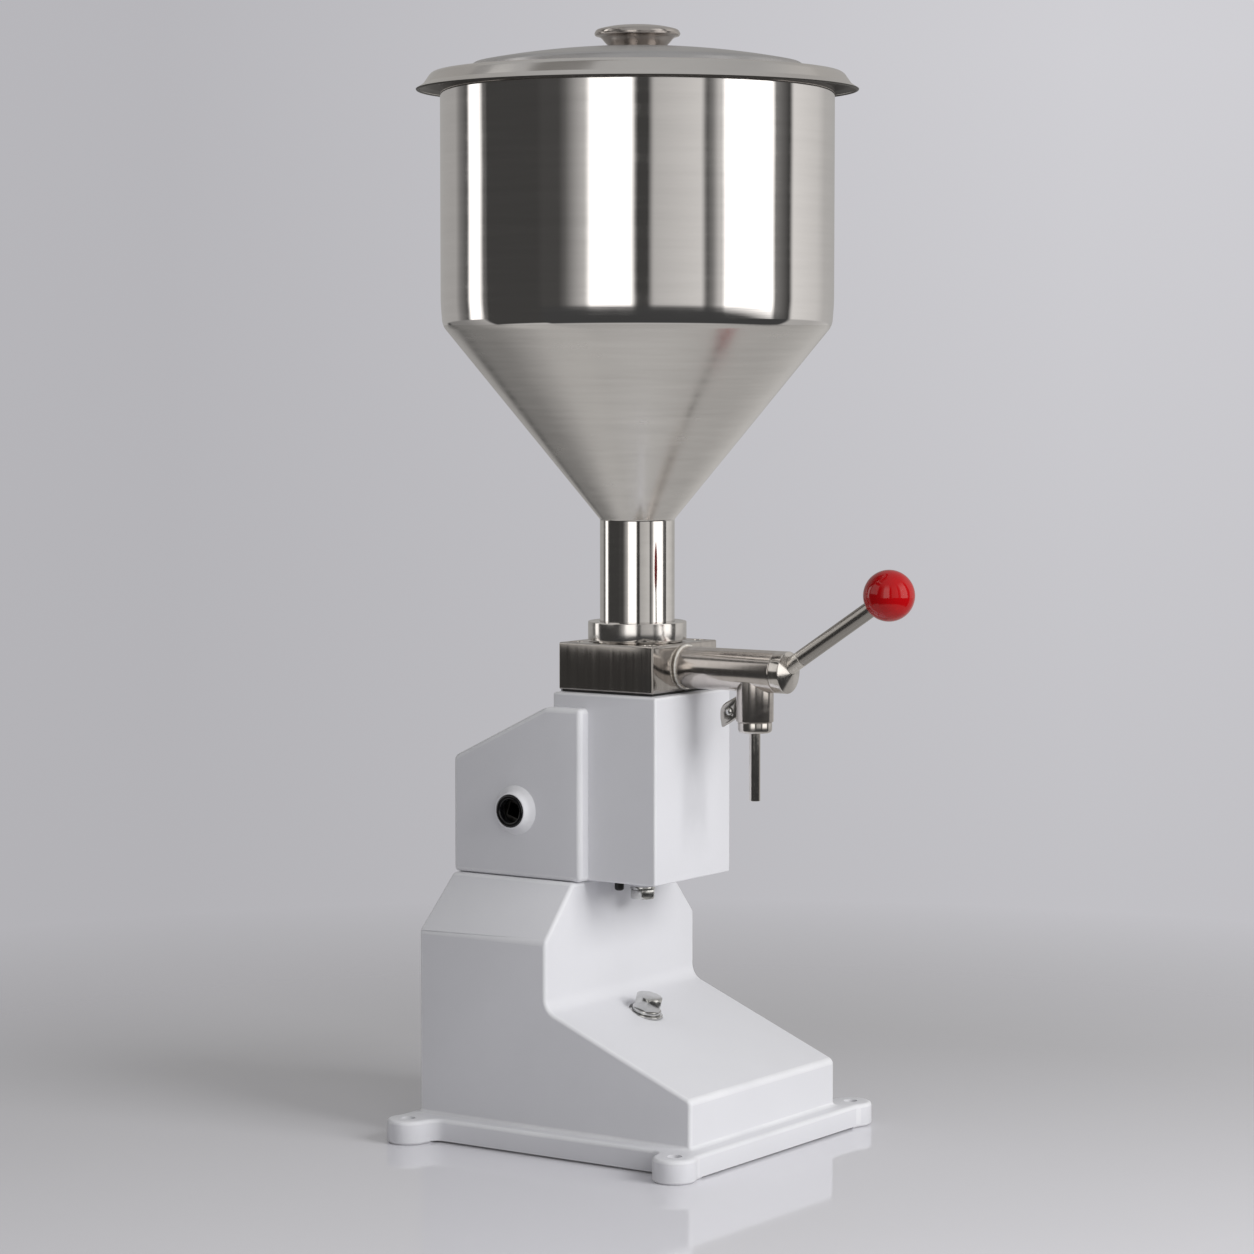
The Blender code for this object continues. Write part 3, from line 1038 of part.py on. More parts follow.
def build_core(parent):
    """Turning valve core with its seals, rear screw, cap, lever rod and ball.  The origin is on its axis."""
    front = -BARREL_FRONT_Y
    rear = -BLOCK_REAR_Y + SEAT_GAP
    passage_end = -CORE_PORT_RADIUS / 2
    tapped = rear + CORE_SCREW_DEPTH
    tap = CORE_SCREW_RADIUS + SHANK_GAP
    core = [(0, passage_end), (CORE_PASSAGE_RADIUS, passage_end), (CORE_PASSAGE_RADIUS, front), (CORE_RADIUS, front)]
    for middle in (-CORE_SEAL_FRONT_Y, -CORE_SEAL_REAR_Y):
        upper = middle + CORE_GROOVE_WIDTH / 2
        lower = middle - CORE_GROOVE_WIDTH / 2
        core += [(CORE_RADIUS, upper), (CORE_GROOVE_RADIUS, upper), (CORE_GROOVE_RADIUS, lower), (CORE_RADIUS, lower)]
    core += [(CORE_RADIUS, rear), (tap, rear), (tap, tapped), (0, tapped)]
    body = turned("valve_core", core, SATIN_STEEL, parent, rotation=AXIS_FORWARD)
    through = round_mesh(CORE_PORT_RADIUS, -CORE_RADIUS - OVERRUN, CORE_RADIUS + OVERRUN)
    aside = round_mesh(CORE_SIDE_PORT_RADIUS, 0, CORE_RADIUS + OVERRUN, steps=SMALL_STEPS)
    outlet = round_mesh(CORE_OUTLET_RADIUS, 0, CORE_RADIUS + OVERRUN, steps=SMALL_STEPS)
    cut(body, tool("core_port", through, parent), tool("core_side_port", aside, parent, rotation=AXIS_RIGHT),
        tool("core_outlet", outlet, parent, (0, OUTLET_Y, 0), AXIS_RIGHT))

    seal_centre = CORE_RADIUS - CORE_SEAL_SECTION
    for name, y in (("core_seal_rear", CORE_SEAL_REAR_Y), ("core_seal_front", CORE_SEAL_FRONT_Y)):
        loop = []
        for step in range(6):
            angle = math.pi / 2 - step * math.pi / 3
            loop.append((seal_centre + CORE_SEAL_SECTION * math.cos(angle), CORE_SEAL_SECTION * math.sin(angle)))
        turned(name, loop, BLACK_RUBBER, parent, (0, y, 0), AXIS_FORWARD, steps=FITTING_STEPS,
               ring=True)

    washer_front = -BLOCK_REAR_Y - SEAT_GAP
    turned("core_washer", ring_profile(tap, CORE_WASHER_RADIUS, washer_front - CORE_WASHER, washer_front), ZINC,
           parent, rotation=AXIS_FORWARD, ring=True, steps=FITTING_STEPS)
    under = washer_front - CORE_WASHER - SEAT_GAP
    screw = piece("core_screw", hex_mesh(CORE_SCREW_FLATS, under - CORE_SCREW_HEAD, under), ZINC, parent,
                  rotation=AXIS_FORWARD)
    shank = round_mesh(CORE_SCREW_RADIUS, under - CORE_SCREW_HEAD / 2, tapped - SEAT_GAP, steps=SMALL_STEPS)
    join(screw, tool("core_screw_shank", shank, parent, rotation=AXIS_FORWARD))

    seam = front + SEAT_GAP
    rim = seam + CAP_SIDE
    cap = [(0, rim + CAP_CONE), (CAP_RADIUS - CAP_CHAMFER, rim), (CAP_RADIUS, rim - CAP_CHAMFER), (CAP_RADIUS, seam),
           (CAP_SPIGOT_RADIUS, seam), (CAP_SPIGOT_RADIUS, seam - CAP_SPIGOT), (0, seam - CAP_SPIGOT)]
    body = turned("valve_cap", cap, SATIN_STEEL, parent, rotation=AXIS_FORWARD)
    lever = pivot("lever_axis", (0, HANDLE_CROSS_Y, 0), parent, (math.pi / 2 - HANDLE_TILT, 0, 0))
    socket = round_mesh(HANDLE_RADIUS + SHANK_GAP, HANDLE_FOOT - SEAT_GAP, BALL_DISTANCE / 2)
    cut(body, tool("lever_socket", socket, lever))
    ball_foot = BALL_DISTANCE - BALL_RADIUS
    rod_end = ball_foot + BALL_RADIUS * 2 * BALL_SOCKET_SHARE
    piece("handle_rod", round_mesh(HANDLE_RADIUS, HANDLE_FOOT, rod_end), SATIN_STEEL, lever)
    sphere = bpy.data.meshes.new("ball")
    form = bmesh.new()
    bmesh.ops.create_uvsphere(form, u_segments=28, v_segments=14, radius=BALL_RADIUS)
    form.to_mesh(sphere)
    form.free()
    ball = piece("handle_ball", smooth(sphere), RED_PLASTIC, lever, (0, 0, BALL_DISTANCE))
    hole = round_mesh(HANDLE_RADIUS + SHANK_GAP, ball_foot - OVERRUN, rod_end + SEAT_GAP)
    cut(ball, tool("ball_socket", hole, lever))


def build_cylinder(parent):
    """Pump cylinder, hung by its flange in the head's top."""
    outer = CYLINDER_BORE_RADIUS + CYLINDER_WALL
    flange_low = HEAD_TOP_Z - CYLINDER_FLANGE
    low = HEAD_TOP_Z - CYLINDER_LENGTH
    profile = [(CYLINDER_BORE_RADIUS, HEAD_TOP_Z), (CYLINDER_FLANGE_RADIUS, HEAD_TOP_Z),
               (CYLINDER_FLANGE_RADIUS, flange_low), (outer, flange_low), (outer, low), (CYLINDER_BORE_RADIUS, low)]
    turned("pump_cylinder", profile, SATIN_STEEL, parent, ring=True)


def build_piston(parent):
    """Piston, seals, nut, rod and crosshead.  The origin is the crank pin's height at the bottom of the stroke."""
    low = PISTON_BOTTOM_Z - PIN_REST_Z
    high = PISTON_TOP_Z - PIN_REST_Z
    hole = PISTON_STUD_RADIUS + RUNNING_GAP
    groove = SEAL_INNER_RADIUS - SEAT_GAP
    profile = [(PISTON_RECESS_RADIUS, high), (PISTON_RADIUS, high)]
    seals = (("piston_seal_upper", high - SEAL_MARGIN - SEAT_GAP - SEAL_HEIGHT),
             ("piston_seal_lower", low + SEAL_MARGIN + SEAT_GAP))
    for name, seal_low in seals:
        upper = seal_low + SEAL_HEIGHT + SEAT_GAP
        lower = seal_low - SEAT_GAP
        profile += [(PISTON_RADIUS, upper), (groove, upper), (groove, lower), (PISTON_RADIUS, lower)]
        loop = ring_profile(SEAL_INNER_RADIUS, SEAL_RADIUS, seal_low, seal_low + SEAL_HEIGHT, SEAL_LIP)
        turned(name, loop, WHITE_SEAL, parent, ring=True, steps=FITTING_STEPS)
    floor = low + PISTON_FLOOR
    profile += [(PISTON_RADIUS, low), (hole, low), (hole, floor), (PISTON_RECESS_RADIUS, floor)]
    turned("piston", profile, SATIN_STEEL, parent, ring=True, steps=FITTING_STEPS)

    nut_low = floor + SEAT_GAP
    nut_high = nut_low + PISTON_NUT_HEIGHT
    nut = piece("piston_nut", hex_mesh(PISTON_NUT_FLATS, nut_low, nut_high), ZINC, parent)
    cut(nut, tool("piston_nut_thread", round_mesh(hole, nut_low - OVERRUN, nut_high + OVERRUN, steps=SMALL_STEPS),
                  parent))
    shoulder = low - SEAT_GAP
    foot = CROSSHEAD_ABOVE - ROD_SOCKET + SEAT_GAP
    rod = [(0, nut_high - SEAT_GAP), (PISTON_STUD_RADIUS, nut_high - SEAT_GAP), (PISTON_STUD_RADIUS, shoulder),
           (ROD_RADIUS, shoulder), (ROD_RADIUS, foot), (0, foot)]
    turned("piston_rod", rod, SATIN_STEEL, parent, steps=SMALL_STEPS)

    half_width = CROSSHEAD_HALF_WIDTH
    half_depth = CROSSHEAD_HALF_DEPTH
    block = box_mesh((-half_width, -half_depth, -CROSSHEAD_BELOW), (half_width, half_depth, CROSSHEAD_ABOVE))
    crosshead = piece("crosshead", block, SATIN_STEEL, parent)
    reach = GUIDE_X + CROSSHEAD_ARM_OUTSIDE
    arm_half = CROSSHEAD_ARM_HALF_DEPTH
    arm_low = -CROSSHEAD_BELOW + SEAT_GAP
    arms = rounded([(-reach, -arm_half, arm_half / 2), (reach, -arm_half, arm_half / 2),
                    (reach, arm_half, arm_half / 2), (-reach, arm_half, arm_half / 2)])
    join(crosshead, tool("crosshead_arms", plate_mesh(arms, arm_low, arm_low + CROSSHEAD_ARM), parent))
    swing = CRANK_RADIUS - SHAFT_Y
    slot_half = CRANK_PIN_RADIUS + CRANK_PIN_GAP
    slot_reach = slot_half + swing + SLOT_END_GAP
    slot = rounded([(-slot_reach, -slot_half, slot_half), (slot_reach, -slot_half, slot_half),
                    (slot_reach, slot_half, slot_half), (-slot_reach, slot_half, slot_half)], steps=5)
    cut(crosshead, tool("crosshead_slot", plate_mesh(slot, -half_width - OVERRUN, half_width + OVERRUN), parent,
                        rotation=DRAWN_FROM_SIDE),
        tool("rod_socket", round_mesh(ROD_RADIUS + RUNNING_GAP, CROSSHEAD_ABOVE - ROD_SOCKET,
                                      CROSSHEAD_ABOVE + OVERRUN, steps=SMALL_STEPS), parent))
    for side in (-1, 1):
        guide = round_mesh(GUIDE_RADIUS + 2 * RUNNING_GAP, -CROSSHEAD_BELOW - OVERRUN, CROSSHEAD_ABOVE,
                           steps=SMALL_STEPS)
        cut(crosshead, tool(f"crosshead_guide_{side}", guide, parent, (side * GUIDE_X, 0, 0)))


def link_outline(hub_radius, tip_radius, length):
    """Tapered link drawn in XY, its hub at the origin and its tip along -X."""
    lean = math.asin((hub_radius - tip_radius) / length)
    steps = 4 * CORNER_STEPS
    outline = []
    first = -math.pi / 2 - lean
    sweep = math.pi + 2 * lean
    for step in range(steps + 1):
        angle = first + sweep * step / steps
        outline.append((hub_radius * math.cos(angle), hub_radius * math.sin(angle)))
    first = math.pi / 2 + lean
    sweep = math.pi - 2 * lean
    for step in range(steps + 1):
        angle = first + sweep * step / steps
        outline.append((tip_radius * math.cos(angle) - length, tip_radius * math.sin(angle)))
    return outline


def build_crank(parent):
    """Cross shaft with its forked arm, pin and set screw.  The origin is on the shaft's axis."""
    shaft_end = HOUSING_HALF_WIDTH + BOSS_HEIGHT - SHAFT_RECESS
    shaft = piece("cross_shaft", round_mesh(SHAFT_RADIUS, -shaft_end, shaft_end), SATIN_STEEL, parent,
                  rotation=AXIS_RIGHT)
    half_side = SOCKET_SIDE / 2
    for name, side in (("left", -1), ("right", 1)):
        deep = side * (shaft_end - SOCKET_DEPTH)
        past = side * (shaft_end + OVERRUN)
        square = box_mesh((min(deep, past), -half_side, -half_side), (max(deep, past), half_side, half_side))
        cut(shaft, tool(f"socket_{name}", square, parent))

    arm = piece("crank_arm", plate_mesh(link_outline(ARM_HUB_RADIUS, ARM_TIP_RADIUS, CRANK_RADIUS), -ARM_HALF_WIDTH,
                                        ARM_HALF_WIDTH), DARK_STEEL, parent, rotation=DRAWN_FROM_SIDE)
    fork = CROSSHEAD_HALF_WIDTH + ARM_FORK_GAP
    reach = CRANK_RADIUS + ARM_TIP_RADIUS + OVERRUN
    gap = box_mesh((-fork, -reach, -ARM_HUB_RADIUS - OVERRUN), (fork, -ARM_FORK_ROOT, ARM_HUB_RADIUS + OVERRUN))
    outside = ARM_HALF_WIDTH + OVERRUN
    pin_at = (0, -CRANK_RADIUS, 0)
    screw_hole = round_mesh(SET_SCREW_RADIUS + RUNNING_GAP, -ARM_HUB_RADIUS - OVERRUN, 0, steps=SMALL_STEPS)
    cut(arm, tool("arm_fork", gap, parent),
        tool("arm_bore", round_mesh(SHAFT_RADIUS + RUNNING_GAP, -outside, outside), parent, rotation=AXIS_RIGHT),
        tool("arm_pin_hole", round_mesh(CRANK_PIN_RADIUS + RUNNING_GAP, -outside, outside, steps=SMALL_STEPS), parent,
             pin_at, AXIS_RIGHT),
        tool("arm_screw_hole", screw_hole, parent, rotation=AXIS_FORWARD))
    weld(arm)
    piece("crank_pin", round_mesh(CRANK_PIN_RADIUS, -ARM_HALF_WIDTH, ARM_HALF_WIDTH, steps=SMALL_STEPS), SATIN_STEEL,
          parent, pin_at, AXIS_RIGHT)
    tip = -SHAFT_RADIUS - SEAT_GAP
    tail = tip - SET_SCREW_LENGTH
    screw = piece("arm_set_screw", round_mesh(SET_SCREW_RADIUS, tail, tip, steps=SMALL_STEPS), DARK_STEEL, parent,
                  rotation=AXIS_FORWARD)
    key = hex_mesh(SET_SCREW_KEY, tail - OVERRUN, tail + SET_SCREW_KEY_DEPTH)
    cut(screw, tool("set_screw_key", key, parent, rotation=AXIS_FORWARD))


def build_bushes(parent):
    """Black bushes that carry the cross shaft in the head's bosses."""
    high = BOSS_HEIGHT + BUSH_PROUD
    low = BOSS_HEIGHT - BUSH_LENGTH
    bore = SHAFT_RADIUS + RUNNING_GAP
    edge = BUSH_EDGE
    profile = [(bore + edge / 2, high - edge / 2), (bore + edge, high), (BUSH_RADIUS - edge, high),
               (BUSH_RADIUS, high - edge), (BUSH_RADIUS, low), (bore, low), (bore, high - edge)]
    for name, side, rotation in (("shaft_bush_left", -1, AXIS_LEFT), ("shaft_bush_right", 1, AXIS_RIGHT)):
        turned(name, profile, BLACK_PLASTIC, parent, (side * HOUSING_HALF_WIDTH, SHAFT_Y, SHAFT_Z), rotation,
               ring=True)


machine = pivot("machine_frame", (0, FRAME_Y, 0))
platform_bolt_axis = platform_bolt_pivot(machine)
build_stand(machine, platform_bolt_axis)
build_platform_bolt(platform_bolt_axis)
build_head_bolts(machine)
build_head(machine)
build_stop_bolt(machine)
build_guide_pins(machine)
build_bushes(machine)
build_block(machine)
build_hopper(machine)
build_barrel(machine)
build_outlet(machine)
build_cylinder(machine)
build_lid(pivot("lid_axis", (0, 0, LEDGE_Z), machine))
build_core(pivot("valve_axis", (0, 0, VALVE_Z), machine))
build_piston(pivot("pump_axis", (0, 0, PIN_REST_Z), machine))
shaft_axis = pivot("shaft_axis", (0, SHAFT_Y, SHAFT_Z), machine)
build_crank(pivot("crank_rest", (0, 0, 0), shaft_axis, (CRANK_HALF_SWING, 0, 0)))
bpy.context.view_layer.update()
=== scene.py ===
"""Looks of a hand-worked bench-top paste filler, dressed over its CAD frame.

Metres, +Z up.  Pieces are drawn in the machine's own coordinates, with the hopper's axis at X 0, Y 0 and the bench at
Z 0, and are shifted to the frame's place once, when they are handed over.
"""

import functools
import logging
import math
from dataclasses import dataclass, field
from enum import Enum
from typing import Any

import bmesh
import bpy
from mathutils import Matrix, Vector


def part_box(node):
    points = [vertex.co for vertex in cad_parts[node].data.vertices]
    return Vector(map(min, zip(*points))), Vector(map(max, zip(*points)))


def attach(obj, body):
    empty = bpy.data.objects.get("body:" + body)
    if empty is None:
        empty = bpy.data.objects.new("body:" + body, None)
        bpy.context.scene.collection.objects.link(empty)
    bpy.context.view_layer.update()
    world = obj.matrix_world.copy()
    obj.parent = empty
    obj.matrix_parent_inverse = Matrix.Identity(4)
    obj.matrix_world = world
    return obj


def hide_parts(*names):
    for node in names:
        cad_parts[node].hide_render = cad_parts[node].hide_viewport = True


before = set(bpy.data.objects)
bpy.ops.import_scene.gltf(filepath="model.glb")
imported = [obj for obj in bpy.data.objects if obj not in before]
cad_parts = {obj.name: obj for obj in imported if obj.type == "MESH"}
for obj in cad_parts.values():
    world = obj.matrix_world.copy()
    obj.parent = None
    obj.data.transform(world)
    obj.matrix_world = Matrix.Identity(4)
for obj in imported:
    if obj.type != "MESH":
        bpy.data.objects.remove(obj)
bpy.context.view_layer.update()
LOG = logging.getLogger("paste_filler")

Point = tuple[float, float]
Colour = tuple[float, float, float]


class Body(Enum):
    """Rigid groups of the frame that drawn pieces ride on."""

    MACHINE = "machine"
    LID = "lid"
    VALVE = "valve"
    SHAFT = "shaft"


class Slot(Enum):
    """Material slots of the record; no piece in this script is given one."""

    CAST_PAINT = "cast_paint"
    POLISHED = "polished_steel"
    SATIN = "satin_steel"
    DARK = "dark_steel"
    ZINC = "zinc"
    RED = "red_plastic"
    BLACK = "black_plastic"
    RUBBER = "black_rubber"


class Operation(Enum):
    """What a Boolean does with its second solid."""

    JOIN = "UNION"
    CUT = "DIFFERENCE"
    KEEP = "INTERSECT"


class Facing(Enum):
    """Where the +Z axis of a turned form points once it is placed."""

    UP = (0.0, 0.0, 0.0)
    FORWARD = (math.pi / 2, 0.0, 0.0)
    RIGHT = (0.0, math.pi / 2, 0.0)
    LEFT = (0.0, -math.pi / 2, 0.0)
    DRAWN_FROM_SIDE = (math.pi / 2, 0.0, math.pi / 2)


@dataclass(frozen=True)
class NodeBox:
    """Lowest and highest corner of a CAD node at rest."""

    low: Vector
    high: Vector

    @classmethod
    def of(cls, node: str) -> "NodeBox":
        """Read a node's box from the frame."""
        low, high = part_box(node)
        return cls(Vector(low), Vector(high))

    @property
    def centre(self) -> Vector:
        """Middle of the box."""
        return (self.low + self.high) / 2


AXIS_Y = NodeBox.of("hopper").centre.y
SEAT_GAP = 0.0003
OVERRUN = 0.004
FASTENER_EDGE = 0.0003
SHARP_ANGLE = math.radians(32)
MERGE_DISTANCE = 0.00001
VALVE_Z = NodeBox.of("valve_core").centre.z
OUTLET_Y = -0.097
SHAFT_Y = NodeBox.of("cross_shaft").centre.y - AXIS_Y
SHAFT_Z = NodeBox.of("cross_shaft").centre.z


# ---- node trees ----


class Graph:
    """A node tree under construction."""

    def __init__(self, tree: bpy.types.NodeTree) -> None:
        """Keep the tree.

        Args:
            tree: The node tree that nodes are added to.
        """
        self.tree = tree

    def node(self, kind: str, values: dict[Any, Any] | None = None, **settings: Any) -> bpy.types.Node:
        """Add a node.

        Args:
            kind: Blender's type name of the node.
            values: Input name or number to a value, or to the socket that feeds it.
            settings: Properties of the node.

        Returns:
            The new node.
        """
        made = self.tree.nodes.new(kind)
        for key, value in settings.items():
            setattr(made, key, value)
        for key, value in (values or {}).items():
            if isinstance(value, bpy.types.NodeSocket):
                self.tree.links.new(value, made.inputs[key])
            else:
                made.inputs[key].default_value = value
        return made

    def maths(self, operation: str, first: Any, second: Any = 0.0, third: Any = 0.0) -> bpy.types.NodeSocket:
        """Add a Math node.

        Args:
            operation: The node's operation.
            first: First value or socket.
            second: Second value or socket.
            third: Third value or socket, for operations that take one.

        Returns:
            The node's output.
        """
        return self.node("ShaderNodeMath", {0: first, 1: second, 2: third}, operation=operation).outputs[0]

    def span(self, value: Any, low: float, high: float, to_low: float, to_high: float) -> bpy.types.NodeSocket:
        """Map a value from one range to another, clamped.

        Args:
            value: The socket to map.
            low: Lower end of the range that it comes from.
            high: Upper end of that range.
            to_low: Result at the lower end.
            to_high: Result at the upper end.

        Returns:
            The mapped value.
        """
        ranged = self.node("ShaderNodeMapRange", {0: value, 1: low, 2: high, 3: to_low, 4: to_high})
        return ranged.outputs[0]

    def blend(self, factor: Any, first: Any, second: Any, mode: str = "MIX") -> bpy.types.NodeSocket:
        """Mix two colours.

        Args:
            factor: Share of the second colour.
            first: First colour or socket.
            second: Second colour or socket.
            mode: Blend mode.

        Returns:
            The mixed colour.
        """
        mixed = self.node("ShaderNodeMix", {0: factor, 6: first, 7: second}, data_type="RGBA", blend_type=mode)
        return mixed.outputs[2]

    def noise(self, vector: Any, scale: Any, detail: float = 2.0, roughness: float = 0.5) -> bpy.types.NodeSocket:
        """Add a Noise Texture.

        Args:
            vector: Where it is read.
            scale: Features per metre of the vector.
            detail: Octaves.
            roughness: Weight of the finer octaves.

        Returns:
            The noise value.
        """
        values = {"Vector": vector, "Scale": scale, "Detail": detail, "Roughness": roughness}
        return self.node("ShaderNodeTexNoise", values).outputs[0]

    def parts(self, vector: Any) -> tuple[bpy.types.NodeSocket, ...]:
        """Split a vector into X, Y and Z."""
        return tuple(self.node("ShaderNodeSeparateXYZ", {0: vector}).outputs)

    def vector(self, x: Any, y: Any, z: Any) -> bpy.types.NodeSocket:
        """Join X, Y and Z into a vector."""
        return self.node("ShaderNodeCombineXYZ", {0: x, 1: y, 2: z}).outputs[0]


SocketPlan = dict[str, tuple[str, Any]]


def new_group(name: str, kind: str, inputs: SocketPlan, outputs: dict[str, str]) -> tuple[Graph, Any, Any]:
    """Make a node group with named inputs and outputs.

    Args:
        name: Name of the group.
        kind: Blender's type of tree.
        inputs: Input name to its socket type and default value, or None where it has none.
        outputs: Output name to its socket type.

    Returns:
        The graph, its input node and its output node.
    """
    tree = bpy.data.node_groups.new(name, kind)
    for label, (socket, default) in inputs.items():
        made = tree.interface.new_socket(label, in_out="INPUT", socket_type=socket)
        if default is not None:
            made.default_value = default
    for label, socket in outputs.items():
        tree.interface.new_socket(label, in_out="OUTPUT", socket_type=socket)
    return Graph(tree), tree.nodes.new("NodeGroupInput"), tree.nodes.new("NodeGroupOutput")


# ---- geometry node trees ----


@functools.cache
def turned_form_tree() -> bpy.types.NodeTree:
    """Tree that turns a chain of corners in the XZ plane round the Z axis.

    Returns:
        The tree, with inputs for the chain, the number of steps, the seam distance and the material.
    """
    inputs: SocketPlan = {"Chain": ("NodeSocketGeometry", None), "Steps": ("NodeSocketInt", 96),
                          "Seam": ("NodeSocketFloat", MERGE_DISTANCE), "Material": ("NodeSocketMaterial", None)}
    graph, given, result = new_group("turned_form", "GeometryNodeTree", inputs, {"Form": "NodeSocketGeometry"})
    chain = given.outputs["Chain"]
    steps = given.outputs["Steps"]
    size = graph.node("GeometryNodeAttributeDomainSize", {"Geometry": chain}, component="MESH")
    rows = size.outputs["Point Count"]
    last_row = graph.maths("SUBTRACT", rows, 1)
    grid = graph.node("GeometryNodeMeshGrid", {"Size X": steps, "Size Y": last_row,
                                               "Vertices X": graph.maths("ADD", steps, 1), "Vertices Y": rows})
    place = graph.node("GeometryNodeInputPosition").outputs[0]
    along, across, _ = graph.parts(place)
    share = graph.maths("DIVIDE", graph.maths("ADD", along, graph.maths("DIVIDE", steps, 2)), steps)
    angle = graph.maths("MULTIPLY", share, math.tau)
    row = graph.maths("ROUND", graph.maths("ADD", across, graph.maths("DIVIDE", last_row, 2)))
    corner = graph.node("GeometryNodeSampleIndex", data_type="FLOAT_VECTOR", domain="POINT")
    graph.tree.links.new(chain, corner.inputs["Geometry"])
    graph.tree.links.new(place, corner.inputs["Value"])
    graph.tree.links.new(row, corner.inputs["Index"])
    radius, _, height = graph.parts(corner.outputs["Value"])
    turned = graph.vector(graph.maths("MULTIPLY", radius, graph.maths("COSINE", angle)),
                          graph.maths("MULTIPLY", radius, graph.maths("SINE", angle)), height)
    moved = graph.node("GeometryNodeSetPosition", {"Geometry": grid.outputs["Mesh"], "Position": turned})
    merged = graph.node("GeometryNodeMergeByDistance", {"Geometry": moved.outputs[0],
                                                        "Distance": given.outputs["Seam"]})
    close_tree(graph, merged.outputs[0], given.outputs["Material"], result)
    return graph.tree


def close_tree(graph: Graph, geometry: Any, material: Any, result: Any) -> None:
    """End a tree in Realize Instances and Set Material.

    Args:
        graph: The tree's graph.
        geometry: The socket to close.
        material: The material's socket.
        result: The tree's output node.
    """
    real = graph.node("GeometryNodeRealizeInstances", {"Geometry": geometry})
    dressed = graph.node("GeometryNodeSetMaterial", {"Geometry": real.outputs[0], "Material": material})
    graph.tree.links.new(dressed.outputs[0], result.inputs[0])


@functools.cache
def weld_tree() -> bpy.types.NodeTree:
    """Tree that lays weld ripples in a ring round the Z axis.

    Returns:
        The tree, with inputs for the ring, the ripple, their number, the seed and the material.
    """
    inputs: SocketPlan = {"Radius": ("NodeSocketFloat", 0.015), "Ripple": ("NodeSocketFloat", 0.0015),
                          "Count": ("NodeSocketInt", 60), "Seed": ("NodeSocketInt", 3),
                          "Material": ("NodeSocketMaterial", None)}
    graph, given, result = new_group("weld_ring", "GeometryNodeTree", inputs, {"Form": "NodeSocketGeometry"})
    ring = graph.node("GeometryNodeMeshCircle", {"Vertices": given.outputs["Count"],
                                                 "Radius": given.outputs["Radius"]})
    ripple = graph.node("GeometryNodeMeshUVSphere", {"Segments": 12, "Rings": 8,
                                                     "Radius": given.outputs["Ripple"]})
    size = graph.node("FunctionNodeRandomValue", data_type="FLOAT")
    size.inputs[2].default_value = 0.9
    size.inputs[3].default_value = 1.1
    graph.tree.links.new(given.outputs["Seed"], size.inputs["Seed"])
    laid = graph.node("GeometryNodeInstanceOnPoints", {"Points": ring.outputs[0], "Instance": ripple.outputs[0],
                                                       "Scale": size.outputs[1]})
    close_tree(graph, laid.outputs[0], given.outputs["Material"], result)
    return graph.tree


@functools.cache
def scatter_tree() -> bpy.types.NodeTree:
    """Tree that puts a copy of one fastener on every corner of a mesh.

    Returns:
        The tree, with inputs for the corners, the fastener and the material.
    """
    inputs: SocketPlan = {"Places": ("NodeSocketGeometry", None), "Fastener": ("NodeSocketObject", None),
                          "Turn": ("NodeSocketFloat", 0.5), "Seed": ("NodeSocketInt", 7),
                          "Material": ("NodeSocketMaterial", None)}
    graph, given, result = new_group("fasteners", "GeometryNodeTree", inputs, {"Form": "NodeSocketGeometry"})
    source = graph.node("GeometryNodeObjectInfo", {"Object": given.outputs["Fastener"]})
    turn = graph.node("FunctionNodeRandomValue", data_type="FLOAT")
    graph.tree.links.new(given.outputs["Turn"], turn.inputs[3])
    graph.tree.links.new(given.outputs["Seed"], turn.inputs["Seed"])
    laid = graph.node("GeometryNodeInstanceOnPoints", {"Points": given.outputs["Places"],
                                                       "Instance": source.outputs["Geometry"],
                                                       "Rotation": graph.vector(0.0, 0.0, turn.outputs[1])})
    close_tree(graph, laid.outputs[0], given.outputs["Material"], result)
    return graph.tree


def grow(name: str, tree: bpy.types.NodeTree, values: dict[str, Any],
         source: bpy.types.Mesh | None = None) -> bpy.types.Object:
    """Run a geometry tree and keep its result as a plain mesh.

    Args:
        name: Name of the object.
        tree: The geometry node tree.
        values: Input name to value.
        source: Mesh that the tree starts from.

    Returns:
        An object with the grown mesh and no modifier.
    """
    carrier = bpy.data.objects.new(name + "_carrier", source or bpy.data.meshes.new(name + "_empty"))
    bpy.context.scene.collection.objects.link(carrier)
    modifier = carrier.modifiers.new("grow", "NODES")
    modifier.node_group = tree
    for item in tree.interface.items_tree:
        if item.item_type == "SOCKET" and item.in_out == "INPUT" and item.name in values:
            modifier[item.identifier] = values[item.name]
    grown = settle(carrier, name)
    if len(grown.data.materials) > 1 and grown.data.materials[0] is None:
        grown.data.materials.pop(index=0)
    return grown


# ---- solids ----


def settle(obj: bpy.types.Object, name: str) -> bpy.types.Object:
    """Turn an object with modifiers into a plain mesh and drop the original.

    Args:
        obj: The object to evaluate.
        name: Name of the result.

    Returns:
        The new object, in the same place.
    """
    bpy.context.view_layer.update()
    depsgraph = bpy.context.evaluated_depsgraph_get()
    mesh = bpy.data.meshes.new_from_object(obj.evaluated_get(depsgraph))
    mesh.transform(obj.matrix_world)
    bpy.data.objects.remove(obj, do_unlink=True)
    plain = bpy.data.objects.new(name, mesh)
    bpy.context.scene.collection.objects.link(plain)
    return plain


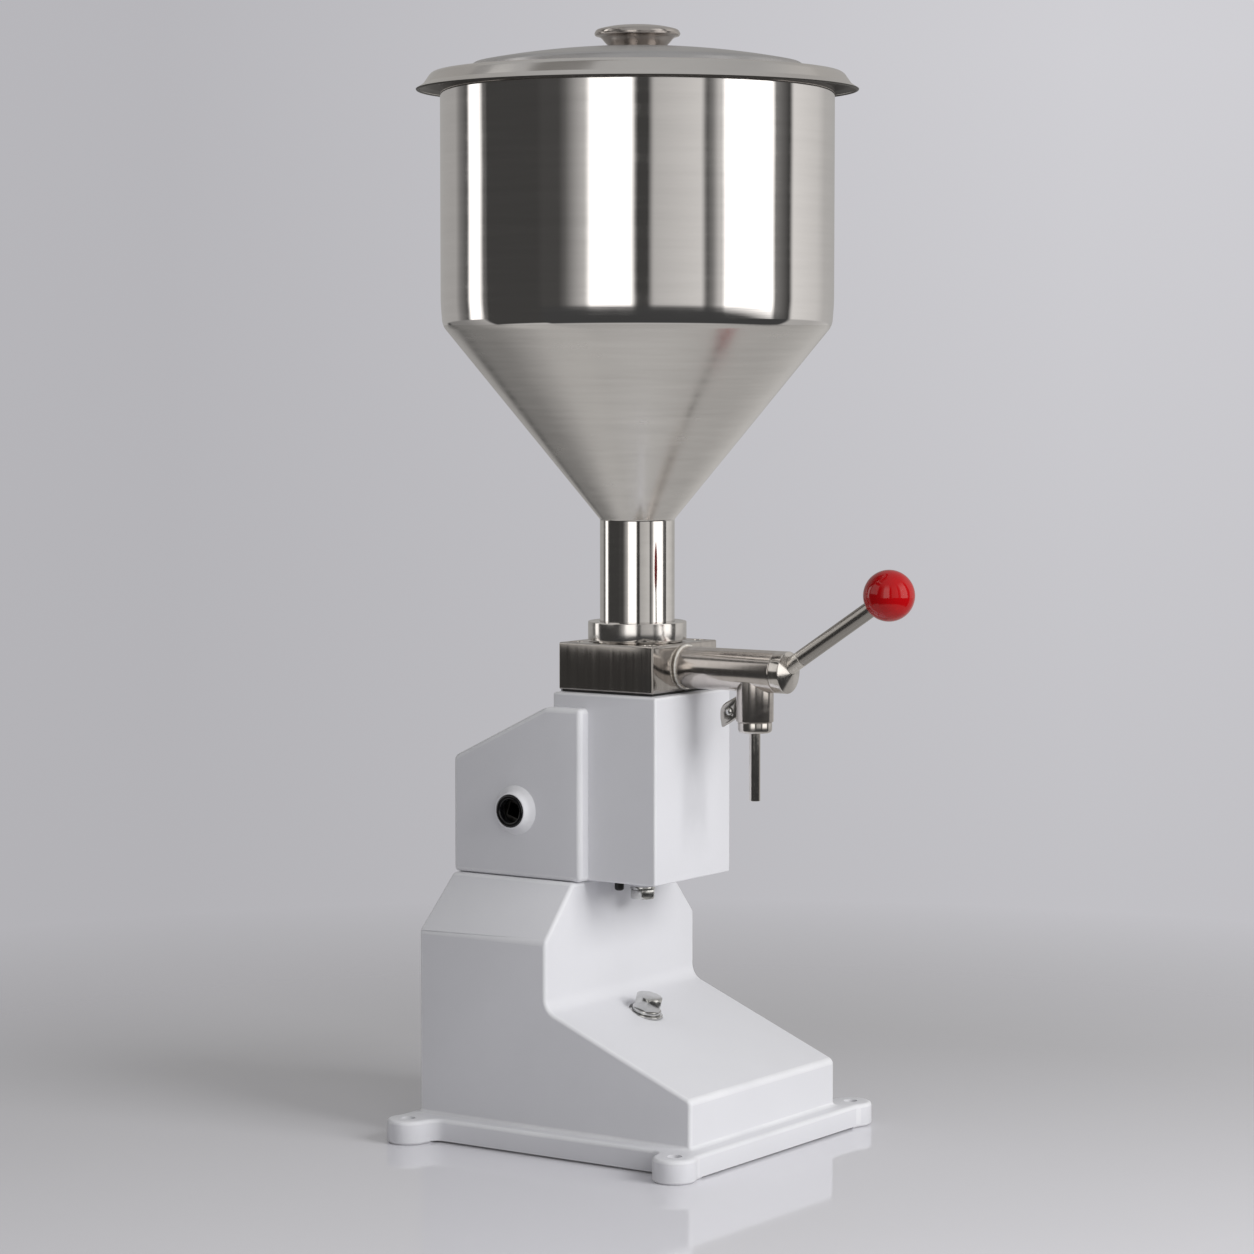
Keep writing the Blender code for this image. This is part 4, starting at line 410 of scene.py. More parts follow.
def mesh_object(name: str, form: bmesh.types.BMesh) -> bpy.types.Object:
    """Make an object from a bmesh and free the bmesh.

    Args:
        name: Name of the object.
        form: The finished bmesh.

    Returns:
        The linked object.
    """
    mesh = bpy.data.meshes.new(name)
    form.to_mesh(mesh)
    form.free()
    obj = bpy.data.objects.new(name, mesh)
    bpy.context.scene.collection.objects.link(obj)
    return obj


def box_solid(low: tuple[float, float, float], high: tuple[float, float, float]) -> bpy.types.Object:
    """Make a box between two corners.

    Args:
        low: Lowest corner.
        high: Highest corner.

    Returns:
        The box.
    """
    form = bmesh.new()
    bmesh.ops.create_cube(form, size=1)
    bmesh.ops.scale(form, vec=Vector(high) - Vector(low), verts=form.verts)
    bmesh.ops.translate(form, vec=(Vector(high) + Vector(low)) / 2, verts=form.verts)
    return mesh_object("box", form)


def prism_solid(outline: list[Point], low: float, high: float, facing: Facing = Facing.UP) -> bpy.types.Object:
    """Extrude an outline along its own Z axis and turn it into place.

    Args:
        outline: Corners in the XY plane.
        low: Lower end of the extrusion.
        high: Upper end of the extrusion.
        facing: Where the outline's Z axis goes.

    Returns:
        The prism.
    """
    form = bmesh.new()
    face = form.faces.new([form.verts.new((x, y, low)) for x, y in outline])
    grown = bmesh.ops.extrude_face_region(form, geom=[face])
    lifted = [item for item in grown["geom"] if isinstance(item, bmesh.types.BMVert)]
    bmesh.ops.translate(form, vec=(0, 0, high - low), verts=lifted)
    bmesh.ops.recalc_face_normals(form, faces=form.faces)
    solid = mesh_object("prism", form)
    solid.data.transform(turn_matrix(facing.value))
    return solid


def round_solid(radius: float, low: float, high: float, place: Vector | tuple[float, float, float] = (0, 0, 0),
                facing: Facing = Facing.UP, steps: int = 64, top_radius: float | None = None) -> bpy.types.Object:
    """Make a cylinder or a cone.

    Args:
        radius: Radius at the lower end.
        low: Lower end along its axis.
        high: Upper end along its axis.
        place: Where its origin goes.
        facing: Where its axis points.
        steps: Facets round it.
        top_radius: Radius at the upper end, if it differs.

    Returns:
        The solid.
    """
    form = bmesh.new()
    upper = radius if top_radius is None else top_radius
    bmesh.ops.create_cone(form, cap_ends=True, segments=steps, radius1=radius, radius2=upper, depth=high - low)
    bmesh.ops.translate(form, vec=(0, 0, (high + low) / 2), verts=form.verts)
    solid = mesh_object("round", form)
    solid.data.transform(Matrix.Translation(Vector(place)) @ turn_matrix(facing.value))
    return solid


def turn_matrix(angles: tuple[float, float, float]) -> Matrix:
    """Rotation matrix of three XYZ angles."""
    x, y, z = angles
    return Matrix.Rotation(z, 4, "Z") @ Matrix.Rotation(y, 4, "Y") @ Matrix.Rotation(x, 4, "X")


def combine(base: bpy.types.Object, operation: Operation, *others: bpy.types.Object) -> bpy.types.Object:
    """Join, cut or keep solids, and drop the others.

    Args:
        base: The solid that is changed.
        operation: What is done with each other solid.
        others: The other solids.

    Returns:
        The changed solid.
    """
    for other in others:
        modifier = base.modifiers.new(operation.name, "BOOLEAN")
        modifier.operation = operation.value
        modifier.solver = "EXACT"
        modifier.object = other
    solid = settle(base, base.name)
    for other in others:
        bpy.data.objects.remove(other, do_unlink=True)
    return solid


def round_edges(solid: bpy.types.Object, width: float, segments: int = 4,
                limit: float = SHARP_ANGLE) -> bpy.types.Object:
    """Round a solid's sharp edges.

    Args:
        solid: The solid.
        width: Size of the rounding.
        segments: Facets across it.
        limit: Least angle between faces of an edge that is rounded.

    Returns:
        The rounded solid.
    """
    modifier = solid.modifiers.new("edges", "BEVEL")
    modifier.width = width
    modifier.segments = segments
    modifier.limit_method = "ANGLE"
    modifier.angle_limit = limit
    modifier.use_clamp_overlap = True
    return settle(solid, solid.name)


def rounded(corners: list[tuple[float, float, float]], closed: bool = True, steps: int = 8) -> list[Point]:
    """Turn corners with a radius into an outline with an arc at each.

    Args:
        corners: X, Y and radius of each corner.
        closed: Whether the outline is a loop.
        steps: Facets of each arc.

    Returns:
        The outline's points.
    """
    outline: list[Point] = []
    count = len(corners)
    for index, (x, y, radius) in enumerate(corners):
        if radius <= 0 or (not closed and index in (0, count - 1)):
            outline.append((x, y))
            continue
        here = Vector((x, y))
        before = (Vector(corners[index - 1][:2]) - here).normalized()
        after = (Vector(corners[(index + 1) % count][:2]) - here).normalized()
        half = before.angle(after) / 2
        centre = here + (before + after).normalized() * radius / math.sin(half)
        start = here + before * radius / math.tan(half) - centre
        stop = here + after * radius / math.tan(half) - centre
        first = math.atan2(start.y, start.x)
        sweep = (math.atan2(stop.y, stop.x) - first + math.pi) % math.tau - math.pi
        for step in range(steps + 1):
            angle = first + sweep * step / steps
            outline.append((centre.x + radius * math.cos(angle), centre.y + radius * math.sin(angle)))
    return outline


def sheet_loop(surface: list[Point], wall: float) -> list[Point]:
    """Give an open profile a wall on its right-hand side, as one closed loop.

    Args:
        surface: The profile's points.
        wall: Thickness of the sheet.

    Returns:
        The surface followed by its offset, backwards.
    """
    offset: list[Point] = []
    for index, point in enumerate(surface):
        here = Vector(point)
        ahead = Vector(surface[min(index + 1, len(surface) - 1)]) - here
        behind = here - Vector(surface[max(index - 1, 0)])
        directions = [d.normalized() for d in (ahead, behind) if d.length > 0]
        normals = [Vector((d.y, -d.x)) for d in directions]
        middle = sum(normals, Vector((0, 0))).normalized()
        reach = wall / max(middle.dot(normals[0]), 0.3)
        offset.append(tuple(here + middle * reach))
    return surface + offset[::-1]


def flowing(points: list[Point], steps: int = 6) -> list[Point]:
    """Smooth curve through points, as a Catmull-Rom spline.

    Args:
        points: Points that the curve passes.
        steps: Facets between two of them.

    Returns:
        The curve's points.
    """
    ends = [points[0], *points, points[-1]]
    curve: list[Point] = []
    for a, b, c, d in zip(ends, ends[1:], ends[2:], ends[3:]):
        for step in range(steps):
            t = step / steps
            curve.append(tuple(0.5 * (2 * q + (r - p) * t + (2 * p - 5 * q + 4 * r - s) * t * t
                                      + (3 * q - p - 3 * r + s) * t ** 3) for p, q, r, s in zip(a, b, c, d)))
    curve.append(points[-1])
    return curve


def turned(name: str, profile: list[Point], material: bpy.types.Material, place: Any = (0, 0, 0),
           facing: Facing | Matrix = Facing.UP, steps: int = 128, ring: bool = False) -> bpy.types.Object:
    """Turn a profile round an axis.

    Args:
        name: Name of the object.
        profile: Radius and height of each corner.
        material: Its material.
        place: Where the profile's origin goes.
        facing: Where its axis points, or a matrix that turns it.
        steps: Facets round it.
        ring: Whether the profile is a loop beside the axis.

    Returns:
        The turned object.
    """
    form = bmesh.new()
    for radius, height in profile + profile[:1] if ring else profile:
        form.verts.new((radius, 0, height))
    chain = bpy.data.meshes.new(name + "_chain")
    form.to_mesh(chain)
    form.free()
    solid = grow(name, turned_form_tree(), {"Steps": steps, "Seam": MERGE_DISTANCE, "Material": material}, chain)
    turn = facing if isinstance(facing, Matrix) else turn_matrix(facing.value)
    solid.data.transform(Matrix.Translation(Vector(place)) @ turn)
    tidy_normals(solid)
    return solid


def tidy_normals(obj: bpy.types.Object) -> None:
    """Merge doubles and point every face outwards.

    Args:
        obj: The object whose mesh is tidied.
    """
    form = bmesh.new()
    form.from_mesh(obj.data)
    bmesh.ops.remove_doubles(form, verts=form.verts, dist=MERGE_DISTANCE)
    bmesh.ops.recalc_face_normals(form, faces=form.faces)
    form.to_mesh(obj.data)
    form.free()


def refined_copy(node: str, edge: float = 0.0, segments: int = 2) -> bpy.types.Object:
    """Copy a CAD node, merge its loose triangles into faces and round its edges a little.

    Args:
        node: The node's name.
        edge: Size of the rounding, or 0 for none.
        segments: Facets across the rounding.

    Returns:
        The copy, moved to the machine's own coordinates.
    """
    form = bmesh.new()
    form.from_mesh(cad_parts[node].data)
    bmesh.ops.remove_doubles(form, verts=form.verts, dist=MERGE_DISTANCE)
    bmesh.ops.dissolve_limit(form, angle_limit=math.radians(1), verts=form.verts, edges=form.edges)
    bmesh.ops.translate(form, vec=(0, -AXIS_Y, 0), verts=form.verts)
    copy = mesh_object(node + "_fine", form)
    copy.data.materials.clear()
    return round_edges(copy, edge, segments, math.radians(40)) if edge > 0 else copy


def hand_over(piece: bpy.types.Object, body: Body, material: bpy.types.Material | None = None,
              nodes: tuple[str, ...] = (), sharp: float = SHARP_ANGLE) -> bpy.types.Object:
    """Args:
        piece: The piece, in the machine's own coordinates.
        body: The body that it rides on.
        material: Its material, where the mesh has none yet.
        nodes: CAD nodes that it stands for.
        sharp: Angle from which an edge stays sharp.

    Returns:
        The piece, attached to its body.
    """
    piece.data.transform(Matrix.Translation((0, AXIS_Y, 0)))
    if material is not None:
        piece.data.materials.clear()
        piece.data.materials.append(material)
    piece.data.shade_smooth()
    piece.data.set_sharp_from_angle(angle=sharp)
    piece.data.name = piece.name
    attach(piece, body.value)
    if nodes:
        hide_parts(*nodes)
    LOG.info("%s rides on %s, %d faces", piece.name, body.value, len(piece.data.polygons))
    return piece


def dress_node(node: str, material: bpy.types.Material) -> None:
    """Give a CAD node that stays its material.

    Args:
        node: The node's name.
        material: The material.
    """
    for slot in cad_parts[node].material_slots:
        slot.link = "OBJECT"
        slot.material = material
    LOG.info("%s keeps its CAD solid", node)


# ---- shader groups ----


@functools.cache
def turned_marks_group() -> bpy.types.NodeTree:
    """Fine rings that a lathe or a polishing wheel leaves round the Z axis.

    Returns:
        The group, with Height and Shade from 0 to 1.
    """
    inputs: SocketPlan = {"Vector": ("NodeSocketVector", None), "Around": ("NodeSocketFloat", 2.0),
                          "Along": ("NodeSocketFloat", 3000.0)}
    graph, given, result = new_group("turned_marks", "ShaderNodeTree", inputs,
                                     {"Height": "NodeSocketFloat", "Shade": "NodeSocketFloat"})
    x, y, z = graph.parts(given.outputs["Vector"])
    flat = graph.vector(x, y, 0.0)
    radius = graph.node("ShaderNodeVectorMath", {0: flat}, operation="LENGTH").outputs["Value"]
    unit = graph.node("ShaderNodeVectorMath", {0: flat}, operation="NORMALIZE").outputs[0]
    around_x, around_y, _ = graph.parts(unit)
    around = given.outputs["Around"]
    along = graph.maths("MULTIPLY", graph.maths("ADD", radius, z), given.outputs["Along"])
    fine = graph.vector(graph.maths("MULTIPLY", around_x, around), graph.maths("MULTIPLY", around_y, around), along)
    broad = graph.vector(around_x, around_y, graph.maths("MULTIPLY", along, 0.12))
    graph.tree.links.new(graph.noise(fine, 1.0, 3.0, 0.6), result.inputs["Height"])
    graph.tree.links.new(graph.noise(broad, 1.0, 3.0, 0.6), result.inputs["Shade"])
    return graph.tree


@functools.cache
def brushed_lines_group() -> bpy.types.NodeTree:
    """Straight grain of a ground or belt-brushed face.

    Returns:
        The group, with Height and Shade from 0 to 1.
    """
    inputs: SocketPlan = {"Vector": ("NodeSocketVector", None), "Grain": ("NodeSocketVector", (30.0, 3000.0, 3000.0))}
    graph, given, result = new_group("brushed_lines", "ShaderNodeTree", inputs,
                                     {"Height": "NodeSocketFloat", "Shade": "NodeSocketFloat"})
    stretched = graph.node("ShaderNodeVectorMath", {0: given.outputs["Vector"], 1: given.outputs["Grain"]},
                           operation="MULTIPLY").outputs[0]
    graph.tree.links.new(graph.noise(stretched, 1.0, 3.0, 0.6), result.inputs["Height"])
    graph.tree.links.new(graph.noise(stretched, 0.15, 3.0, 0.6), result.inputs["Shade"])
    return graph.tree


@functools.cache
def cast_skin_group() -> bpy.types.NodeTree:
    """Pebbled skin of thick paint over a rough casting.

    Returns:
        The group, with Height and Tone from 0 to 1.
    """
    inputs: SocketPlan = {"Vector": ("NodeSocketVector", None), "Pebble": ("NodeSocketFloat", 700.0)}
    graph, given, result = new_group("cast_skin", "ShaderNodeTree", inputs,
                                     {"Height": "NodeSocketFloat", "Tone": "NodeSocketFloat"})
    vector = given.outputs["Vector"]
    pebble = given.outputs["Pebble"]
    fine = graph.noise(vector, pebble, 3.0, 0.55)
    swell = graph.noise(vector, graph.maths("MULTIPLY", pebble, 0.18), 2.0, 0.5)
    height = graph.maths("ADD", graph.maths("MULTIPLY", fine, 0.6), graph.maths("MULTIPLY", swell, 0.4))
    graph.tree.links.new(height, result.inputs["Height"])
    graph.tree.links.new(graph.noise(vector, 14.0, 4.0, 0.6), result.inputs["Tone"])
    return graph.tree


@functools.cache
def handling_group() -> bpy.types.NodeTree:
    """Faint smudges and settled dust from handling.

    Returns:
        The group, with Smudge from 0 to 1 and Dust from 0 to 1, dust only on what faces up.
    """
    inputs: SocketPlan = {"Vector": ("NodeSocketVector", None), "Scale": ("NodeSocketFloat", 40.0),
                          "Up": ("NodeSocketFloat", 0.0)}
    graph, given, result = new_group("handling", "ShaderNodeTree", inputs,
                                     {"Smudge": "NodeSocketFloat", "Dust": "NodeSocketFloat"})
    cloud = graph.noise(given.outputs["Vector"], given.outputs["Scale"], 4.0, 0.6)
    graph.tree.links.new(graph.span(cloud, 0.45, 0.72, 0.0, 1.0), result.inputs["Smudge"])
    facing = graph.span(given.outputs["Up"], 0.6, 1.0, 0.0, 1.0)
    grains = graph.span(graph.noise(given.outputs["Vector"], 900.0, 2.0), 0.5, 0.7, 0.0, 1.0)
    graph.tree.links.new(graph.maths("MULTIPLY", facing, grains), result.inputs["Dust"])
    return graph.tree


# ---- finishes ----


@dataclass(frozen=True)
class Finish:
    """A surface finish, made into one material.

    Attributes:
        name: Name of the material.
        colour: Base colour, linear.
        roughness: Middle roughness.
        metallic: 1 for bare metal.
        coat: Weight of a clear top layer.
        specular: Specular level of a surface that isn't metal.
        smudge: How much handling changes the roughness.
        dust: How much dust lightens what faces up.
    """

    name: str
    colour: Colour
    roughness: float
    metallic: float = 0.0
    coat: float = 0.0
    specular: float = 0.5
    smudge: float = 0.05
    dust: float = 0.02

    def material(self) -> bpy.types.Material:
        """Build the material, or give the one that was built before.

        Returns:
            The material.
        """
        found = bpy.data.materials.get(self.name)
        if found is not None:
            return found
        material = bpy.data.materials.new(self.name)
        material.use_nodes = True
        graph = Graph(material.node_tree)
        shader = material.node_tree.nodes["Principled BSDF"]
        shader.inputs["Metallic"].default_value = self.metallic
        shader.inputs["Coat Weight"].default_value = self.coat
        shader.inputs["Coat Roughness"].default_value = self.roughness / 3
        shader.inputs["Specular IOR Level"].default_value = self.specular
        vector = graph.node("ShaderNodeTexCoord").outputs["Object"]
        up = graph.parts(graph.node("ShaderNodeNewGeometry").outputs["Normal"])[2]
        handled = graph.node("ShaderNodeGroup", node_tree=handling_group())
        graph.tree.links.new(vector, handled.inputs["Vector"])
        graph.tree.links.new(up, handled.inputs["Up"])
        colour, roughness, normal = self.surface(graph, vector)
        rough = graph.maths("ADD", roughness, graph.maths("MULTIPLY", handled.outputs["Smudge"], self.smudge))
        dusty = graph.maths("MULTIPLY", handled.outputs["Dust"], self.dust)
        links = graph.tree.links
        links.new(graph.blend(dusty, colour, (0.62, 0.60, 0.57, 1.0)), shader.inputs["Base Color"])
        links.new(rough, shader.inputs["Roughness"])
        links.new(normal, shader.inputs["Normal"])
        return material

    def surface(self, graph: Graph, vector: Any) -> tuple[Any, Any, Any]:
        """Colour, roughness and normal over the surface.

        Args:
            graph: The material's graph.
            vector: Object coordinates.

        Returns:
            Sockets for the colour, the roughness and the normal.
        """
        raise NotImplementedError

    def bump(self, graph: Graph, height: Any, strength: float, distance: float, below: Any = None) -> Any:
        """Add a Bump node.

        Args:
            graph: The material's graph.
            height: Height from 0 to 1.
            strength: Strength of the relief.
            distance: Depth of the relief.
            below: Normal that it is laid over, if any.

        Returns:
            The normal.
        """
        values = {"Strength": strength, "Distance": distance, "Height": height}
        if below is not None:
            values["Normal"] = below
        return graph.node("ShaderNodeBump", values).outputs[0]

    def tinted(self, graph: Graph, shade: Any, spread: float) -> Any:
        """The base colour, lighter and darker with a shade.

        Args:
            graph: The material's graph.
            shade: Value from 0 to 1.
            spread: Share by which the colour changes.

        Returns:
            The colour.
        """
        dark = tuple(c * (1 - spread) for c in self.colour) + (1.0,)
        light = tuple(min(c * (1 + spread), 1.0) for c in self.colour) + (1.0,)
        return graph.blend(graph.span(shade, 0.3, 0.7, 0.0, 1.0), dark, light)


@dataclass(frozen=True)
class TurnedSteel(Finish):
    """Steel turned or polished in rings round an axis.

    Attributes:
        place: A point on the axis, in the machine's own coordinates.
        turn: Angles that turn the Z axis onto the axis.
        around: How fast marks change round the axis.
        along: Marks per metre along it.
        depth: Depth of the marks.
        relief: Strength of the marks' bump.
        spread: How much the colour varies from mark to mark.
        rough_spread: How much the roughness varies from mark to mark.
        wave: Depth of the sheet's slow waviness.
        wave_scale: Waves per metre.
    """

    metallic: float = 1.0
    dust: float = 0.0
    place: tuple[float, float, float] = (0.0, 0.0, 0.0)
    turn: tuple[float, float, float] = (0.0, 0.0, 0.0)
    around: float = 2.0
    along: float = 1500.0
    depth: float = 0.00001
    relief: float = 0.2
    spread: float = 0.08
    rough_spread: float = 0.08
    wave: float = 0.0
    wave_scale: float = 9.0

    def surface(self, graph: Graph, vector: Any) -> tuple[Any, Any, Any]:
        """Rings round the axis, over slow waves of the sheet.

        Args:
            graph: The material's graph.
            vector: Object coordinates.

        Returns:
            Sockets for the colour, the roughness and the normal.
        """
        x, y, z = self.place
        local = graph.node("ShaderNodeMapping", {"Vector": vector, "Location": (x, y + AXIS_Y, z),
                                                 "Rotation": self.turn}, vector_type="TEXTURE").outputs[0]
        marks = graph.node("ShaderNodeGroup", node_tree=turned_marks_group())
        graph.tree.links.new(local, marks.inputs["Vector"])
        marks.inputs["Around"].default_value = self.around
        marks.inputs["Along"].default_value = self.along
        shade = marks.outputs["Shade"]
        roughness = graph.span(shade, 0.3, 0.7, self.roughness - self.rough_spread / 2,
                               self.roughness + self.rough_spread / 2)
        normal = None
        if self.wave > 0:
            normal = self.bump(graph, graph.noise(local, self.wave_scale, 1.0), 1.0, self.wave)
        normal = self.bump(graph, marks.outputs["Height"], self.relief, self.depth, normal)
        return self.tinted(graph, shade, self.spread), roughness, normal


@dataclass(frozen=True)
class BrushedSteel(Finish):
    """Steel ground or brushed in straight lines.

    Attributes:
        grain: Marks per metre along X, Y and Z.
        depth: Depth of the marks.
        relief: Strength of the marks' bump.
        spread: How much the colour varies.
        rough_spread: How much the roughness varies.
    """

    metallic: float = 1.0
    dust: float = 0.0
    grain: tuple[float, float, float] = (30.0, 3000.0, 3000.0)
    depth: float = 0.00001
    relief: float = 0.2
    spread: float = 0.10
    rough_spread: float = 0.10

    def surface(self, graph: Graph, vector: Any) -> tuple[Any, Any, Any]:
        """Straight grain.

        Args:
            graph: The material's graph.
            vector: Object coordinates.

        Returns:
            Sockets for the colour, the roughness and the normal.
        """
        lines = graph.node("ShaderNodeGroup", node_tree=brushed_lines_group())
        graph.tree.links.new(vector, lines.inputs["Vector"])
        lines.inputs["Grain"].default_value = self.grain
        shade = lines.outputs["Shade"]
        roughness = graph.span(shade, 0.3, 0.7, self.roughness - self.rough_spread / 2,
                               self.roughness + self.rough_spread / 2)
        normal = self.bump(graph, lines.outputs["Height"], self.relief, self.depth)
        return self.tinted(graph, shade, self.spread), roughness, normal


@dataclass(frozen=True)
class CastPaint(Finish):
    """Thick paint over a casting, with a painted highlight along its rounded edges.

    Attributes:
        pebble: Pebbles per metre.
        depth: Depth of the pebbles.
        relief: Strength of the pebbles' bump.
        painted_edge_highlight: Lighter colour of a painted highlight that shows faintly along rounded edges.
        painted_highlight_strength: How strongly the painted highlight shows.
    """

    pebble: float = 620.0
    depth: float = 0.0004
    relief: float = 0.22
    painted_edge_highlight: Colour = (0.9, 0.9, 0.9)
    painted_highlight_strength: float = 0.35

    def surface(self, graph: Graph, vector: Any) -> tuple[Any, Any, Any]:
        """Pebbled skin, with a painted highlight that lightens it along the rounded edges.

        Args:
            graph: The material's graph.
            vector: Object coordinates.

        Returns:
            Sockets for the colour, the roughness and the normal.
        """
        skin = graph.node("ShaderNodeGroup", node_tree=cast_skin_group())
        graph.tree.links.new(vector, skin.inputs["Vector"])
        skin.inputs["Pebble"].default_value = self.pebble
        # Painted highlight: faces marked as rounded edges are lightened towards a paler colour, patchy with the skin's
        # tone.
        edge = graph.node("ShaderNodeAttribute", attribute_name="edge").outputs["Fac"]
        patchy = graph.span(skin.outputs["Tone"], 0.35, 0.65, 0.3, 1.0)
        painted_edge_highlight = graph.maths("MULTIPLY", graph.maths("MULTIPLY", edge, patchy), self.painted_highlight_strength)
        colour = graph.blend(painted_edge_highlight, self.tinted(graph, skin.outputs["Tone"], 0.012), (*self.painted_edge_highlight, 1.0))
        roughness = graph.span(skin.outputs["Tone"], 0.3, 0.7, self.roughness - 0.03, self.roughness + 0.03)
        return colour, roughness, self.bump(graph, skin.outputs["Height"], self.relief, self.depth)


@dataclass(frozen=True)
class Moulded(Finish):
    """Plastic, rubber or plating with a fine even skin.

    Attributes:
        skin: Grains per metre.
        relief: Strength of the grain's bump.
        spread: How much the colour varies.
        spot: Spots per metre of the slow colour change.
    """

    skin: float = 900.0
    relief: float = 0.05
    spread: float = 0.03
    spot: float = 60.0

    def surface(self, graph: Graph, vector: Any) -> tuple[Any, Any, Any]:
        """Fine even skin with slow changes of colour.

        Args:
            graph: The material's graph.
            vector: Object coordinates.

        Returns:
            Sockets for the colour, the roughness and the normal.
        """
        cloud = graph.noise(vector, self.spot, 3.0)
        roughness = graph.span(cloud, 0.3, 0.7, self.roughness * 0.85, self.roughness * 1.15)
        normal = self.bump(graph, graph.noise(vector, self.skin, 2.0), self.relief, 0.0002)
        return self.tinted(graph, cloud, self.spread), roughness, normal


WHITE_CAST = CastPaint("white_cast_paint", (0.70, 0.70, 0.725), 0.40, specular=0.5, smudge=0.04, dust=0.03)
MIRROR_WALL = TurnedSteel("mirror_hopper_wall", (0.90, 0.88, 0.87), 0.05, along=1100.0, around=5.0, depth=0.000012,
                          relief=0.30, spread=0.03, rough_spread=0.05, wave=0.0006, wave_scale=7.0, smudge=0.02)
SATIN_CONE = TurnedSteel("satin_hopper_cone", (0.82, 0.80, 0.78), 0.21, along=900.0, around=3.0, depth=0.00002,
                         relief=0.25, spread=0.05, wave=0.0012)
BRIGHT_NECK = TurnedSteel("polished_neck", (0.80, 0.78, 0.76), 0.07, along=1200.0, spread=0.05, rough_spread=0.04)
LID_SATIN = TurnedSteel("satin_lid", (0.62, 0.61, 0.61), 0.30, along=700.0, spread=0.06)
LID_BAND = TurnedSteel("polished_lid_band", (0.80, 0.77, 0.74), 0.12, along=900.0, around=3.0, rough_spread=0.06,
                       wave=0.0004, wave_scale=40.0)
# Painted shade: the lid's downward faces are the same steel, coloured near black to stand in for the shadow under the
# lid.
LID_UNDERSIDE_SHADE = TurnedSteel("dull_lid_inside", (0.10, 0.095, 0.09), 0.45, along=900.0, dust=0.02)
KNOB_STEEL = TurnedSteel("turned_knob", (0.60, 0.56, 0.53), 0.15, spread=0.06)
NUT_STEEL = TurnedSteel("turned_nut", (0.72, 0.70, 0.68), 0.14)
NOZZLE_STEEL = TurnedSteel("nozzle_steel", (0.66, 0.63, 0.60), 0.13, place=(0.0, OUTLET_Y, 0.0), spread=0.05)
BARREL_STEEL = TurnedSteel("brushed_barrel", (0.64, 0.60, 0.57), 0.17, place=(0.0, 0.0, VALVE_Z),
                           turn=Facing.FORWARD.value, around=1.5, spread=0.06, rough_spread=0.06)
CAP_STEEL = TurnedSteel("turned_cap", (0.70, 0.67, 0.64), 0.16, place=(0.0, 0.0, VALVE_Z),
                        turn=Facing.FORWARD.value, along=1600.0, around=1.5, depth=0.000015, relief=0.3)
SHAFT_STEEL = TurnedSteel("oiled_shaft", (0.07, 0.068, 0.065), 0.30, place=(0.0, SHAFT_Y, SHAFT_Z),
                          turn=Facing.RIGHT.value, depth=0.00002, relief=0.3, dust=0.02)
PUMP_STEEL = TurnedSteel("bored_pump_steel", (0.56, 0.55, 0.53), 0.24, depth=0.00002, relief=0.3, dust=0.02)
BLOCK_STEEL = BrushedSteel("ground_block", (0.56, 0.53, 0.50), 0.13, grain=(1500.0, 1500.0, 60.0), relief=0.25)
ROD_STEEL = BrushedSteel("drawn_rod", (0.42, 0.40, 0.38), 0.24, grain=(900.0, 40.0, 40.0), depth=0.000006,
                         relief=0.15, spread=0.05, rough_spread=0.06)
COLLAR_STEEL = BrushedSteel("brushed_collar", (0.70, 0.67, 0.63), 0.30, grain=(200.0, 2000.0, 1400.0))
PLATE_STEEL = BrushedSteel("sheet_lug", (0.50, 0.48, 0.45), 0.22, grain=(60.0, 1500.0, 60.0))
BLACKENED = BrushedSteel("blackened_steel", (0.05, 0.05, 0.05), 0.38, grain=(200.0, 1600.0, 1600.0), depth=0.00002,
                         relief=0.3, dust=0.02)
ZINC_PLATE = Moulded("zinc_plate", (0.62, 0.62, 0.61), 0.20, metallic=1.0, spread=0.10, spot=260.0, relief=0.08)
WELD_STEEL = Moulded("weld_bead", (0.86, 0.84, 0.80), 0.12, metallic=1.0, spread=0.08, spot=300.0)
RED_GLOSS = Moulded("red_gloss", (0.40, 0.001, 0.003), 0.05, skin=120.0, relief=0.01, smudge=0.01, dust=0.0)
BLACK_GLOSS = Moulded("black_gloss", (0.004, 0.004, 0.005), 0.12)
BLACK_RUBBER = Moulded("black_gasket", (0.015, 0.015, 0.015), 0.62)
SEAL_WHITE = Moulded("seal_white", (0.70, 0.69, 0.65), 0.45)


# ---- sub-assemblies ----


def mark_edges(piece: bpy.types.Object, widest: float) -> None:
    """Mark narrow faces along rounded edges, where the paint gets a painted highlight.

    Args:
        piece: The piece.
        widest: Longest short side of a face that counts as narrow.
    """
    mesh = piece.data
    marks = mesh.attributes.new("edge", "FLOAT", "FACE")
    for polygon in mesh.polygons:
        corners = [mesh.vertices[index].co for index in polygon.vertices]
        outline = sum((a - b).length for a, b in zip(corners, corners[1:] + corners[:1]))
        narrow = 2 * polygon.area / max(outline, MERGE_DISTANCE) < widest / 2
        marks.data[polygon.index].value = 1.0 if narrow else 0.0


